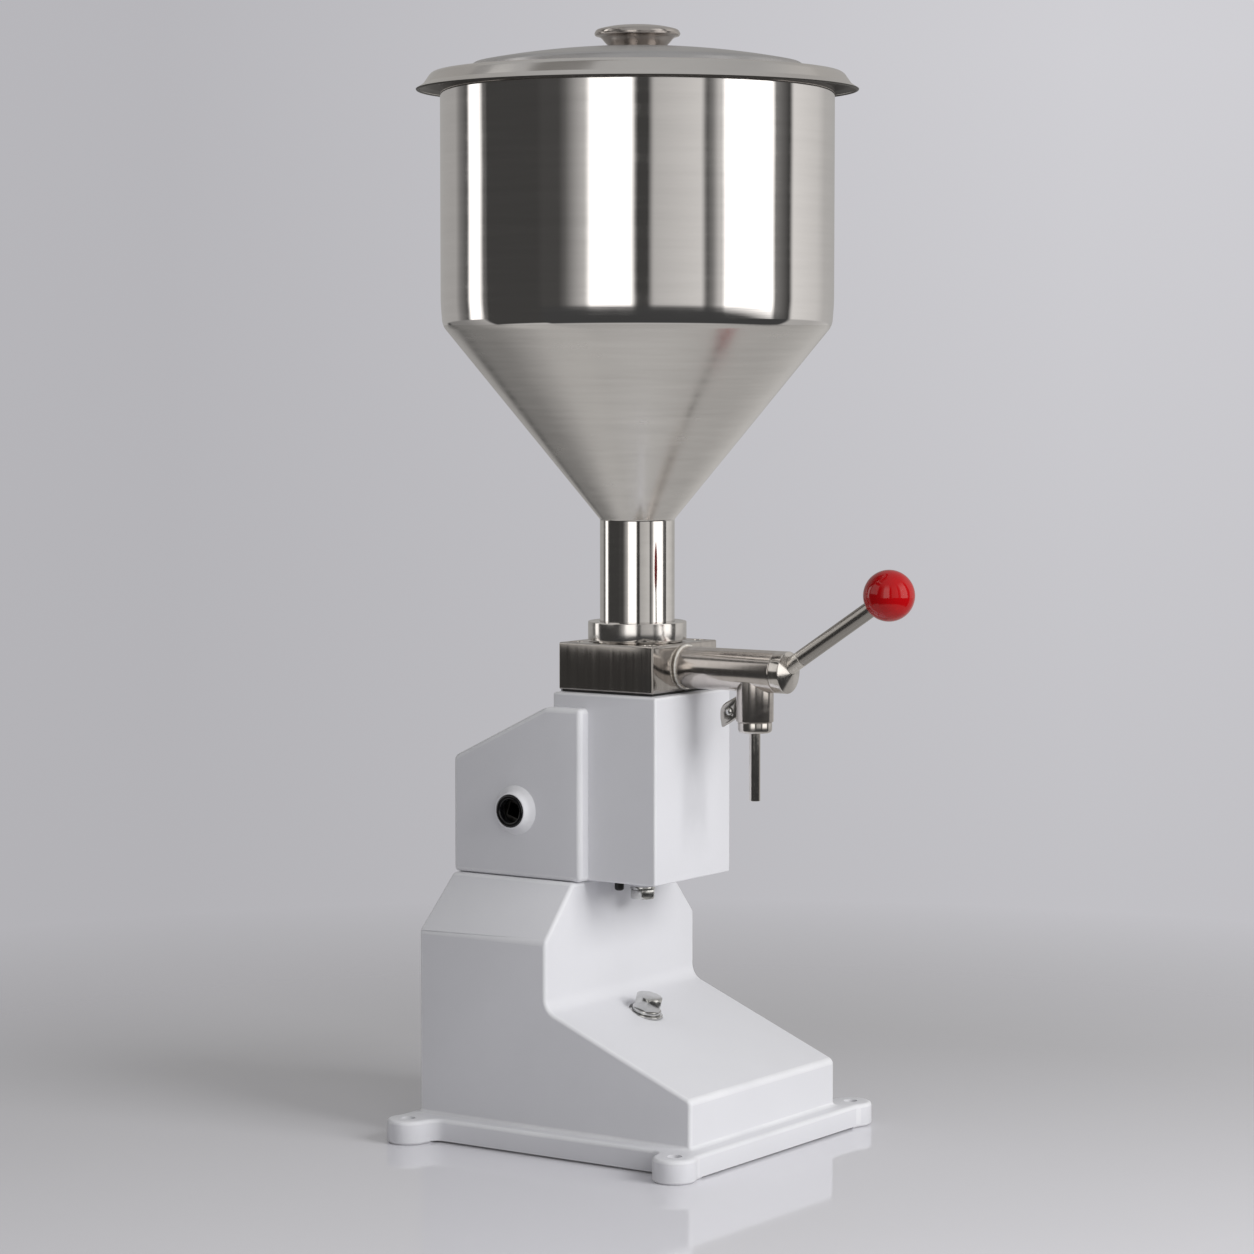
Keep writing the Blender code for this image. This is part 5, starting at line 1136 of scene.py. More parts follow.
@dataclass
class Stand:
    """Hollow cast stand with its lugs, bolts and washers."""

    half_width: float = 0.092
    nose_y: float = -0.1054
    rear_y: float = 0.121
    top_z: float = NodeBox.of("base_casting").high.z
    wall: float = 0.006
    nose_top_z: float = 0.0494
    slope_top_z: float = 0.099
    column_y: float = 0.0132
    shoulder_z: float = 0.1452
    roof_half_width: float = 0.0585
    roof_rear_y: float = 0.1168
    slope_fillet: float = 0.012
    nose_round: float = 0.005
    edge: float = 0.0026
    flange_top: float = 0.0165
    flange_lift: float = 0.0015
    flange_half_width: float = 0.104
    flange_front_y: float = -0.1185
    flange_rear_y: float = 0.1285
    lug_radius: float = 0.015
    lug_neck: float = 0.010
    lug_x: float = 0.1125
    lug_front_y: float = -0.1065
    lug_rear_y: float = 0.1155
    lug_hole: float = 0.005
    bolt_hole: float = 0.0042
    bolt_places: tuple[Point, ...] = ((0.0435, 0.027), (0.0435, 0.103))
    seat_x: float = -0.0076
    seat_drop: float = 0.0258
    seat_sink: float = 0.0016
    seat_tilt: float = math.radians(15)
    seat_radius: float = 0.0123
    seat_hole: float = 0.0062
    pad_radius: float = 0.013
    pad_depth: float = 0.024

    def lug(self, foot: Point, flange_y: float) -> list[Point]:
        """Outline of one lug in the quarter where X and Y are positive.

        Args:
            foot: Middle of the lug.
            flange_y: The flange's end beside it.

        Returns:
            Points from the side edge round the lug to the end edge.
        """
        centre = Vector(foot)
        reach = self.lug_radius + self.lug_neck
        side_x = self.flange_half_width + self.lug_neck
        side = Vector((side_x, centre.y - math.sqrt(reach ** 2 - (centre.x - side_x) ** 2)))
        end_y = flange_y + self.lug_neck
        end = Vector((centre.x - math.sqrt(reach ** 2 - (end_y - centre.y) ** 2), end_y))
        to_side = side - centre
        to_end = end - centre
        arcs = ((side, self.lug_neck, math.pi, math.atan2(-to_side.y, -to_side.x)),
                (centre, self.lug_radius, math.atan2(to_side.y, to_side.x), math.atan2(to_end.y, to_end.x)),
                (end, self.lug_neck, math.atan2(-to_end.y, -to_end.x), -math.pi / 2))
        points: list[Point] = []
        for middle, radius, first, last in arcs:
            steps = 18 if middle is centre else 6
            for step in range(steps + 1):
                angle = first + (last - first) * step / steps
                point = middle + radius * Vector((math.cos(angle), math.sin(angle)))
                if not points or (Vector(points[-1]) - point).length > MERGE_DISTANCE:
                    points.append(tuple(point))
        return points

    def plan(self) -> list[Point]:
        """Outline of the flange and its lugs, seen from above.

        Returns:
            The outline's points.
        """
        rear = self.lug((self.lug_x, self.lug_rear_y), self.flange_rear_y)
        front = self.lug((self.lug_x, -self.lug_front_y), -self.flange_front_y)
        outline = list(rear)
        outline += [(-x, y) for x, y in reversed(rear)]
        outline += [(-x, -y) for x, y in front]
        outline += [(x, -y) for x, y in reversed(front)]
        return outline

    def body(self, inset: float, low: float) -> bpy.types.Object:
        """The stand's body, as the overlap of its outlines from the side and from the front.

        Args:
            inset: How far it lies inside the outer skin.
            low: Its lower end.

        Returns:
            The solid.
        """
        rise = (self.slope_top_z - self.nose_top_z) / (self.column_y - self.nose_y)
        drop = inset / math.cos(math.atan(rise))
        outer = inset == 0
        side = rounded([
            (self.rear_y - inset, low, 0), (self.rear_y - inset, self.shoulder_z - inset / 2, 0),
            (self.roof_rear_y - inset, self.top_z - inset, 0), (self.column_y + inset, self.top_z - inset, 0),
            (self.column_y + inset, self.slope_top_z - drop + inset * rise, self.slope_fillet if outer else 0),
            (self.nose_y + inset, self.nose_top_z - drop + inset * rise, self.nose_round if outer else 0),
            (self.nose_y + inset, low, 0)])
        reach = self.half_width + OVERRUN
        solid = prism_solid(side, -reach, reach, Facing.DRAWN_FROM_SIDE)
        half = self.half_width - inset
        lean = (self.half_width - self.roof_half_width) / (self.top_z - self.shoulder_z)
        shoulder = self.shoulder_z - inset / 2
        top = self.top_z + OVERRUN
        roof = half - lean * (top - shoulder)
        front = [(-half, low - OVERRUN), (half, low - OVERRUN), (half, shoulder), (roof, top), (-roof, top),
                 (-half, shoulder)]
        mask = prism_solid(front, -self.rear_y - OVERRUN, -self.nose_y + OVERRUN, Facing.FORWARD)
        return combine(solid, Operation.KEEP, mask)

    def seat_matrix(self) -> Matrix:
        """Find the axis of the bolt on the sloping front.

        Returns:
            Matrix that puts the Z axis on it.
        """
        rise = (self.slope_top_z - self.nose_top_z) / (self.column_y - self.nose_y)
        y = self.column_y - self.seat_drop + self.seat_sink * math.sin(self.seat_tilt)
        z = self.slope_top_z - self.seat_drop * rise - self.seat_sink
        return Matrix.Translation((self.seat_x, y, z)) @ Matrix.Rotation(self.seat_tilt, 4, "X")

    def casting(self) -> bpy.types.Object:
        """Build the whole casting.

        Returns:
            The casting, with its edges marked.
        """
        solid = prism_solid(self.plan(), 0, self.flange_top)
        solid = combine(solid, Operation.JOIN, self.body(0, self.flange_top / 2))
        solid = round_edges(solid, self.edge, 5)
        hollow = self.body(self.wall, -OVERRUN)
        pad = round_solid(self.pad_radius, -self.pad_depth, -self.seat_sink - OVERRUN / 2)
        seat = round_solid(self.seat_radius, -SEAT_GAP, self.pad_depth)
        hole = round_solid(self.seat_hole, -self.pad_depth - OVERRUN, OVERRUN)
        for part in (pad, seat, hole):
            part.data.transform(self.seat_matrix())
        solid = combine(solid, Operation.CUT, hollow)
        solid = combine(solid, Operation.JOIN, pad)
        across = self.lug_x + self.lug_radius + OVERRUN
        inside = self.lug_x - self.lug_radius
        front = self.lug_front_y + self.lug_radius
        rear = self.lug_rear_y - self.lug_radius
        far = self.lug_radius * 2 + OVERRUN
        cutters = [
            seat, hole,
            box_solid((-inside, front - far, -OVERRUN), (inside, rear + far, self.flange_lift)),
            box_solid((-across, front, -OVERRUN), (across, rear, self.flange_lift)),
        ]
        for side in (-1, 1):
            for foot_y in (self.lug_front_y, self.lug_rear_y):
                cutters.append(round_solid(self.lug_hole, -OVERRUN, self.flange_top + OVERRUN,
                                           (side * self.lug_x, foot_y, 0)))
            for x, y in self.bolt_places:
                cutters.append(round_solid(self.bolt_hole, self.top_z - 2 * self.wall, self.top_z + OVERRUN,
                                           (side * x, y, 0), steps=32))
        solid = combine(solid, Operation.CUT, *cutters)
        solid.name = "stand_casting"
        mark_edges(solid, self.edge)
        return solid

    def build(self) -> None:
        """Make and dress the stand and its fasteners."""
        hand_over(self.casting(), Body.MACHINE, WHITE_CAST.material(), ("base_casting",))
        zinc = ZINC_PLATE.material()
        for node in ("platform_bolt", "platform_flat_washer", "platform_spring_washer"):
            piece = refined_copy(node, FASTENER_EDGE)
            hand_over(piece, Body.MACHINE, zinc, (node,))
        for number in range(1, 5):
            dress_node(f"head_bolt_{number}", zinc)


@dataclass
class Head:
    """Pump box and crank housing, with the bushes, the stop bolt and the guide pins."""

    box_half_width: float = 0.0469
    box_front_y: float = -0.0467
    box_rear_y: float = 0.0386
    box_bottom_z: float = NodeBox.of("base_casting").high.z + 0.0009
    bottom_z: float = NodeBox.of("base_casting").high.z + SEAT_GAP
    top_z: float = NodeBox.of("head_casting").high.z
    wall: float = 0.006
    housing_half_width: float = 0.0565
    housing_front_y: float = 0.009
    housing_rear_y: float = 0.1178
    knee_y: float = 0.039
    housing_height: float = 0.1197
    rear_height: float = 0.0815
    box_edge: float = 0.0016
    housing_edge: float = 0.0034
    joint_fillet: float = 0.0016
    boss_height: float = 0.007
    boss_base: float = 0.0163
    boss_waist: float = 0.0138
    boss_face: float = 0.0124
    boss_round: float = 0.0009
    boss_flat: float = 0.0016
    waist_share: float = 0.45
    waist_round: float = 0.006
    boss_flare: float = 0.001
    flare_round: float = 0.004
    boss_root: float = 0.002
    bush_radius: float = 0.0113
    bush_bore: float = 0.0081
    bush_length: float = 0.0135
    bush_proud: float = 0.0005
    bush_round: float = 0.0012
    stop_y: float = -0.0046
    pad_radius: float = 0.0095
    pad_height: float = 0.0075
    cylinder_radius: float = 0.0253
    flange_radius: float = 0.0293
    flange: float = 0.0033
    guide_x: float = 0.022
    guide_hole: float = 0.0034
    stop_hole: float = 0.0052
    pin_edge: float = 0.0004

    def boss(self, side: int) -> bpy.types.Object:
        """Flared boss on one side.

        Args:
            side: -1 for the left side, 1 for the right.

        Returns:
            The boss.
        """
        rim = self.boss_height
        root = self.boss_base + self.boss_root
        profile = [(0, rim)] + rounded([(self.boss_face - self.boss_flat, rim, 0),
                                        (self.boss_face, rim, self.boss_round),
                                        (self.boss_waist, rim * self.waist_share, self.waist_round),
                                        (self.boss_base + self.boss_flare, 0, self.flare_round),
                                        (root, -self.wall / 4, 0)], closed=False)
        profile += [(root, -self.wall / 2), (0, -self.wall / 2)]
        facing = Facing.RIGHT if side > 0 else Facing.LEFT
        place = (side * self.housing_half_width, SHAFT_Y, SHAFT_Z)
        return turned("boss", profile, WHITE_CAST.material(), place, facing, steps=96)

    def casting(self) -> bpy.types.Object:
        """Build the whole casting.

        Returns:
            The casting, with its edges marked.
        """
        box = box_solid((-self.box_half_width, self.box_front_y, self.box_bottom_z),
                        (self.box_half_width, self.box_rear_y, self.top_z))
        box = round_edges(box, self.box_edge, 5)
        high = self.bottom_z + self.housing_height
        rear_high = self.bottom_z + self.rear_height
        outline = [(self.housing_front_y, self.bottom_z), (self.housing_rear_y, self.bottom_z),
                   (self.housing_rear_y, rear_high), (self.knee_y, high), (self.housing_front_y, high)]
        housing = prism_solid(outline, -self.housing_half_width, self.housing_half_width, Facing.DRAWN_FROM_SIDE)
        housing = round_edges(housing, self.housing_edge, 6, math.radians(20))
        solid = round_edges(combine(box, Operation.JOIN, housing), self.joint_fillet, 4, math.radians(50))
        pad = round_solid(self.pad_radius, self.box_bottom_z - self.pad_height, self.box_bottom_z + self.wall / 2,
                          (0, self.stop_y, 0))
        solid = combine(solid, Operation.JOIN, self.boss(-1), self.boss(1), pad)
        inside = self.box_half_width - self.wall
        floor = self.box_bottom_z + self.wall
        half = self.housing_half_width - self.wall
        front = self.housing_front_y + self.wall
        rear = self.housing_rear_y - self.wall
        hollow = [(front, self.bottom_z - OVERRUN), (rear, self.bottom_z - OVERRUN), (rear, rear_high - self.wall),
                  (self.knee_y, high - self.wall), (front, high - self.wall)]
        reach = self.housing_half_width + self.boss_height + OVERRUN
        cutters = [
            box_solid((-inside, self.box_front_y + self.wall, floor),
                      (inside, self.box_rear_y - self.wall, self.top_z - self.wall * 4 / 3)),
            prism_solid(hollow, -half, half, Facing.DRAWN_FROM_SIDE),
            round_solid(self.bush_radius + SEAT_GAP, -reach, reach, (0, SHAFT_Y, SHAFT_Z), Facing.RIGHT),
            round_solid(self.cylinder_radius, self.top_z - 2 * self.wall, self.top_z + OVERRUN),
            round_solid(self.flange_radius, self.top_z - self.flange, self.top_z + OVERRUN),
            round_solid(self.stop_hole, self.box_bottom_z - self.pad_height - OVERRUN, floor + OVERRUN,
                        (0, self.stop_y, 0)),
        ]
        for side in (-1, 1):
            cutters.append(round_solid(self.guide_hole, self.box_bottom_z - OVERRUN, floor + OVERRUN,
                                       (side * self.guide_x, 0, 0), steps=32))
        solid = combine(solid, Operation.CUT, *cutters)
        solid.name = "head_casting_fine"
        mark_edges(solid, self.housing_edge)
        return solid

    def bush(self, side: int, node: str) -> None:
        """Black bush in one boss.

        Args:
            side: -1 for the left side, 1 for the right.
            node: The CAD node that it stands for.
        """
        rim = self.boss_height + self.bush_proud
        foot = rim - self.bush_length
        profile = rounded([(self.bush_bore, foot, 0), (self.bush_bore, rim, self.bush_round),
                           (self.bush_radius, rim, self.bush_round), (self.bush_radius, foot, 0)],
                          closed=False, steps=6)
        facing = Facing.RIGHT if side > 0 else Facing.LEFT
        piece = turned(node + "_fine", profile, BLACK_GLOSS.material(),
                       (side * self.housing_half_width, SHAFT_Y, SHAFT_Z), facing, steps=96, ring=True)
        hand_over(piece, Body.MACHINE, nodes=(node,))

    def build(self) -> None:
        """Make and dress the head and what sits in it."""
        hand_over(self.casting(), Body.MACHINE, WHITE_CAST.material(), ("head_casting",))
        self.bush(-1, "shaft_bush_left")
        self.bush(1, "shaft_bush_right")
        zinc = ZINC_PLATE.material()
        for node in ("stop_bolt", "stop_spring_washer"):
            hand_over(refined_copy(node, FASTENER_EDGE), Body.MACHINE, zinc, (node,))
        for node in ("guide_pin_left", "guide_pin_right"):
            hand_over(refined_copy(node, self.pin_edge), Body.MACHINE, BLACKENED.material(), (node,))


@dataclass
class Pump:
    """Pump and crank inside the head, kept as CAD solids but for the shaft's ends."""

    turned_nodes: tuple[str, ...] = ("pump_cylinder", "piston", "piston_rod")
    dark_nodes: tuple[str, ...] = ("crank_arm", "arm_set_screw")
    seals: tuple[str, ...] = ("piston_seal_upper", "piston_seal_lower")

    def build(self) -> None:
        """Dress the pump's nodes."""
        for node in self.turned_nodes:
            dress_node(node, PUMP_STEEL.material())
        for node in self.dark_nodes:
            dress_node(node, BLACKENED.material())
        for node in self.seals:
            dress_node(node, SEAL_WHITE.material())
        dress_node("crosshead", ROD_STEEL.material())
        dress_node("crank_pin", SHAFT_STEEL.material())
        dress_node("piston_nut", ZINC_PLATE.material())
        hand_over(refined_copy("cross_shaft", FASTENER_EDGE), Body.SHAFT, SHAFT_STEEL.material(),
                  ("cross_shaft",))


@dataclass
class Valve:
    """Valve block, barrel, core, cap and lever."""

    barrel_radius: float = 0.0144
    barrel_rear_y: float = -0.0402
    barrel_front_y: float = -0.1158
    bore: float = 0.0106
    weld_radius: float = 0.0148
    weld_ripple: float = 0.0013
    outlet_y: float = OUTLET_Y
    stub_radius: float = 0.01275
    stub_bottom_z: float = NodeBox.of("valve_barrel").low.z
    stub_bore: float = 0.0097
    stub_bore_depth: float = 0.0096
    port: float = 0.004
    cap_radius: float = 0.0144
    cap_side: float = 0.0077
    cap_cone: float = 0.0041
    cap_spigot: float = 0.0047
    cap_spigot_length: float = 0.010
    lever_radius: float = 0.0056
    lever_tilt: float = math.radians(33.4)
    lever_cross: float = 0.0093
    lever_foot: float = 0.0053
    lever_length: float = 0.0932
    collar_end: float = 0.0185
    collar_groove: float = 0.0003
    ball_radius: float = 0.0173
    ball_distance: float = 0.1001
    screw_places: tuple[Point, ...] = ((0.0311, 0.0296), (0.0311, -0.0309))
    screw_radius: float = 0.005
    screw_height: float = 0.006
    screw_shank: float = 0.003
    screw_round: float = 0.0005
    screw_turn: float = 0.9
    key_radius: float = 0.0029
    key_depth: float = 0.003
    block_edge: float = 0.0004
    lever_gap: float = 0.0002
    fine_round: float = 0.0003
    rim_round: float = 0.0006
    tube_round: float = 0.0007
    stub_round: float = 0.0004
    weld_shift_share: float = 0.6

    def block(self) -> None:
        """Ground block with its spigot, gasket and countersunk screws."""
        hand_over(refined_copy("valve_block", self.block_edge), Body.MACHINE, BLOCK_STEEL.material(),
                  ("valve_block",))
        hand_over(refined_copy("block_gasket"), Body.MACHINE, BLACK_RUBBER.material(),
                  ("block_gasket",))
        top = NodeBox.of("block_screw_1").high.z
        low = NodeBox.of("block_screw_1").low.z
        under = top - self.screw_height
        head = rounded([(0, top, 0), (self.screw_radius, top, self.screw_round), (self.screw_radius, under, 0),
                        (self.screw_shank, under, 0), (self.screw_shank, low, 0), (0, low, 0)],
                       closed=False, steps=3)
        zinc = ZINC_PLATE.material()
        screw = turned("socket_screw", head, zinc, steps=48)
        key = round_solid(self.key_radius, top - self.key_depth, top + OVERRUN, steps=6)
        screw = combine(screw, Operation.CUT, key)
        form = bmesh.new()
        for side in (-1, 1):
            for x, y in self.screw_places:
                form.verts.new((side * x, y, 0))
        places = bpy.data.meshes.new("screw_places")
        form.to_mesh(places)
        form.free()
        laid = grow("block_screws", scatter_tree(), {"Fastener": screw, "Turn": self.screw_turn, "Seed": 5,
                                                       "Material": zinc}, places)
        bpy.data.objects.remove(screw, do_unlink=True)
        hand_over(laid, Body.MACHINE, nodes=tuple(f"block_screw_{n}" for n in range(1, 5)))

    def barrel(self) -> None:
        """Tube with its outlet stub, and the weld that joins it to the block."""
        steel = BARREL_STEEL.material()
        rear = -self.barrel_rear_y
        front = -self.barrel_front_y
        tube = rounded([(0, rear, 0), (self.barrel_radius, rear, 0), (self.barrel_radius, front, self.tube_round),
                        (0, front, 0)], closed=False, steps=3)
        axis = (0, 0, VALVE_Z)
        solid = turned("barrel", tube, steel, axis, Facing.FORWARD, steps=144)
        stub = rounded([(0, VALVE_Z, 0), (self.stub_radius, VALVE_Z, 0),
                        (self.stub_radius, self.stub_bottom_z, self.stub_round), (0, self.stub_bottom_z, 0)],
                       closed=False, steps=3)
        stub = turned("stub", stub, NOZZLE_STEEL.material(), (0, self.outlet_y, 0), steps=128)
        solid = combine(solid, Operation.JOIN, stub)
        seat = self.stub_bottom_z + self.stub_bore_depth
        outlet = (0, self.outlet_y, 0)
        solid = combine(
            solid, Operation.CUT,
            round_solid(self.bore, rear - OVERRUN, front + OVERRUN, axis, Facing.FORWARD),
            round_solid(self.stub_bore, self.stub_bottom_z - OVERRUN, seat, outlet),
            round_solid(self.port, seat - OVERRUN, VALVE_Z, outlet, steps=32))
        solid.name = "valve_barrel_fine"
        hand_over(solid, Body.MACHINE, nodes=("valve_barrel",))
        weld = grow("barrel_weld", weld_tree(), {"Radius": self.weld_radius, "Ripple": self.weld_ripple, "Count": 90,
                                                 "Seed": 4, "Material": WELD_STEEL.material()})
        weld_y = self.barrel_rear_y - self.weld_ripple * self.weld_shift_share
        weld.data.transform(Matrix.Translation((0, weld_y, VALVE_Z)) @ turn_matrix(Facing.FORWARD.value))
        hand_over(weld, Body.MACHINE)

    def cap(self) -> None:
        """Cap with its turned cone and the hole for the lever."""
        seam = -self.barrel_front_y + SEAT_GAP
        rim = seam + self.cap_side
        apex = rim + self.cap_cone
        profile = rounded([(0, apex, 0), (self.cap_radius, rim, self.rim_round),
                           (self.cap_radius, seam, self.fine_round),
                           (self.cap_spigot, seam, 0), (self.cap_spigot, seam - self.cap_spigot_length, 0),
                           (0, seam - self.cap_spigot_length, 0)], closed=False, steps=4)
        solid = turned("cap", profile, CAP_STEEL.material(), (0, 0, VALVE_Z), Facing.FORWARD, steps=144)
        hole = round_solid(self.lever_radius + self.lever_gap, self.lever_foot - SEAT_GAP, self.ball_distance / 2)
        hole.data.transform(self.lever_matrix())
        solid = combine(solid, Operation.CUT, hole)
        solid.name = "valve_cap_fine"
        hand_over(solid, Body.VALVE, CAP_STEEL.material(), ("valve_cap",))

    def lever_matrix(self) -> Matrix:
        """Find the lever's axis, from where it crosses the valve's axis.

        Returns:
            Matrix that puts the Z axis on it.
        """
        apex = -self.barrel_front_y + SEAT_GAP + self.cap_side + self.cap_cone
        cross = Vector((0, self.lever_cross - apex, VALVE_Z))
        return Matrix.Translation(cross) @ Matrix.Rotation(math.pi / 2 - self.lever_tilt, 4, "X")

    def lever(self) -> None:
        """Lever rod with the brushed collar at its root, and the red ball."""
        matrix = self.lever_matrix()
        neck = self.lever_radius - self.collar_groove
        profile = rounded([(0, self.lever_foot, 0), (self.lever_radius, self.lever_foot, 0),
                           (self.lever_radius, self.collar_end - self.collar_groove, 0), (neck, self.collar_end, 0),
                           (self.lever_radius, self.collar_end + self.collar_groove, 0),
                           (self.lever_radius, self.lever_length, self.fine_round), (0, self.lever_length, 0)],
                          closed=False, steps=3)
        rod = turned("lever_rod", profile, ROD_STEEL.material(), facing=matrix, steps=96)
        rod.data.materials.append(COLLAR_STEEL.material())
        toward_root = matrix.inverted()
        for polygon in rod.data.polygons:
            polygon.material_index = 1 if (toward_root @ polygon.center).z < self.collar_end else 0
        rod.name = "lever_rod_fine"
        hand_over(rod, Body.VALVE, nodes=("handle_rod",))
        steps = 64
        angles = [math.pi / 2 - math.pi * step / steps for step in range(steps + 1)]
        arc = [(max(self.ball_radius * math.cos(angle), 0.0), self.ball_radius * math.sin(angle))
               for angle in angles]
        ball = turned("ball", arc, RED_GLOSS.material(), facing=matrix @ Matrix.Translation((0, 0, self.ball_distance)),
                      steps=128)
        low = self.ball_distance - self.ball_radius - OVERRUN
        high = self.lever_length + SEAT_GAP
        hole = round_solid(self.lever_radius + self.lever_gap, low, high)
        hole.data.transform(matrix)
        ball = combine(ball, Operation.CUT, hole)
        ball.name = "lever_ball"
        hand_over(ball, Body.VALVE, RED_GLOSS.material(), ("handle_ball",))

    def build(self) -> None:
        """Make and dress the valve."""
        self.block()
        self.barrel()
        self.cap()
        self.lever()
        dress_node("valve_core", BARREL_STEEL.material())
        for node in ("core_seal_rear", "core_seal_front"):
            dress_node(node, BLACK_RUBBER.material())
        for node in ("core_washer", "core_screw"):
            hand_over(refined_copy(node, FASTENER_EDGE), Body.VALVE, ZINC_PLATE.material(), (node,))


@dataclass
class Outlet:
    """Nozzle, its nut and the curved lug behind it."""

    y: float = OUTLET_Y
    bottom_z: float = NodeBox.of("valve_barrel").low.z
    nut_radius: float = 0.01172
    nut_height: float = 0.0072
    nut_round: float = 0.0022
    spigot_radius: float = 0.0094
    spigot: float = 0.006
    tube_radius: float = 0.00378
    tube_bore: float = 0.0026
    tube_below: float = 0.0544
    flange_radius: float = 0.008
    flange: float = 0.0015
    top_round: float = 0.0004
    mouth_round: float = 0.0003
    bore_round: float = 0.0002
    plate_edge: float = 0.0002
    plate_sharp: float = math.radians(45)

    def build(self) -> None:
        """Make and dress the outlet."""
        steel = NOZZLE_STEEL.material()
        top = -SEAT_GAP
        low = top - self.nut_height
        bore = self.tube_radius + SEAT_GAP
        nut = rounded([(bore, self.spigot, 0), (self.spigot_radius, self.spigot, 0), (self.spigot_radius, top, 0),
                       (self.nut_radius, top, self.top_round), (self.nut_radius, low, self.nut_round),
                       (bore, low, self.mouth_round)])
        place = (0, self.y, self.bottom_z)
        hand_over(turned("nozzle_nut_fine", nut, steel, place, steps=128, ring=True), Body.MACHINE,
                  nodes=("nozzle_nut",))
        flange_low = self.spigot + SEAT_GAP
        high = flange_low + self.flange
        tube = rounded([(self.tube_bore, high, 0), (self.flange_radius, high, 0), (self.flange_radius, flange_low, 0),
                        (self.tube_radius, flange_low, 0), (self.tube_radius, -self.tube_below, self.mouth_round),
                        (self.tube_bore, -self.tube_below, self.bore_round)], steps=3)
        hand_over(turned("nozzle_tube_fine", tube, steel, place, steps=96, ring=True), Body.MACHINE,
                  nodes=("nozzle_tube",))
        dress_node("nozzle_gasket", SEAL_WHITE.material())
        hand_over(refined_copy("outlet_lug", self.plate_edge), Body.MACHINE, PLATE_STEEL.material(),
                  ("outlet_lug",), sharp=self.plate_sharp)
        hand_over(refined_copy("lug_screw", self.plate_edge), Body.MACHINE, ZINC_PLATE.material(),
                  ("lug_screw",))


@dataclass
class Hopper:
    """Sheet-metal hopper, its gasket and its nut."""

    wall: float = 0.0015
    rim_width: float = 0.0035
    rim_drop: float = 0.0055
    rim_round: float = 0.0009
    cylinder_height: float = 0.172
    cone_height: float = 0.1335
    skirt: float = 0.0155
    skirt_inset: float = 0.0012
    skirt_round: float = 0.12
    neck_radius: float = 0.0259
    shoulder_round: float = 0.013
    neck_round: float = 0.002
    foot_radius: float = 0.0305
    foot: float = 0.0017
    nut_radius: float = 0.0342
    nut_bore: float = 0.0313
    nut_lip: float = 0.0021
    nut_edge: float = 0.0006
    box: NodeBox = field(default_factory=lambda: NodeBox.of("hopper"))

    def build(self) -> None:
        """Make and dress the hopper."""
        top = self.box.high.z
        radius = self.box.high.x - self.rim_width
        cone_top = top - self.cylinder_height
        neck_top = cone_top - self.cone_height
        low = self.box.low.z
        high = low + self.foot
        lip = radius + self.rim_width - self.wall
        outer = rounded([
            (lip, top - self.rim_drop, 0), (lip, top - self.wall, self.rim_round),
            (radius, top - self.wall, self.rim_round), (radius, cone_top + self.skirt, self.skirt_round),
            (radius - self.skirt_inset, cone_top, self.shoulder_round),
            (self.neck_radius, neck_top, self.neck_round), (self.neck_radius, high, 0)], closed=False, steps=10)
        loop = sheet_loop(outer, self.wall)
        inner = loop[len(outer):]
        profile = outer + [(self.foot_radius, high), (self.foot_radius, low), (self.neck_radius - self.wall, low)]
        profile += inner[1:]
        piece = turned("hopper_fine", profile, MIRROR_WALL.material(), steps=256, ring=True)
        piece.data.materials.append(SATIN_CONE.material())
        piece.data.materials.append(BRIGHT_NECK.material())
        for polygon in piece.data.polygons:
            if polygon.center.z < neck_top:
                polygon.material_index = 2
            elif polygon.center.z < cone_top:
                polygon.material_index = 1
        hand_over(piece, Body.MACHINE, nodes=("hopper",))

        nut_box = NodeBox.of("hopper_nut")
        high = nut_box.high.z
        low = nut_box.low.z
        neck = self.neck_radius + SEAT_GAP
        under = high - self.nut_lip
        nut = rounded([(neck, high, 0), (self.nut_radius, high, self.nut_edge),
                       (self.nut_radius, low, self.nut_edge), (self.nut_bore, low, 0), (self.nut_bore, under, 0),
                       (neck, under, 0)], steps=4)
        hand_over(turned("hopper_nut_fine", nut, NUT_STEEL.material(), steps=160, ring=True), Body.MACHINE,
                  nodes=("hopper_nut",))
        dress_node("hopper_gasket", SEAL_WHITE.material())


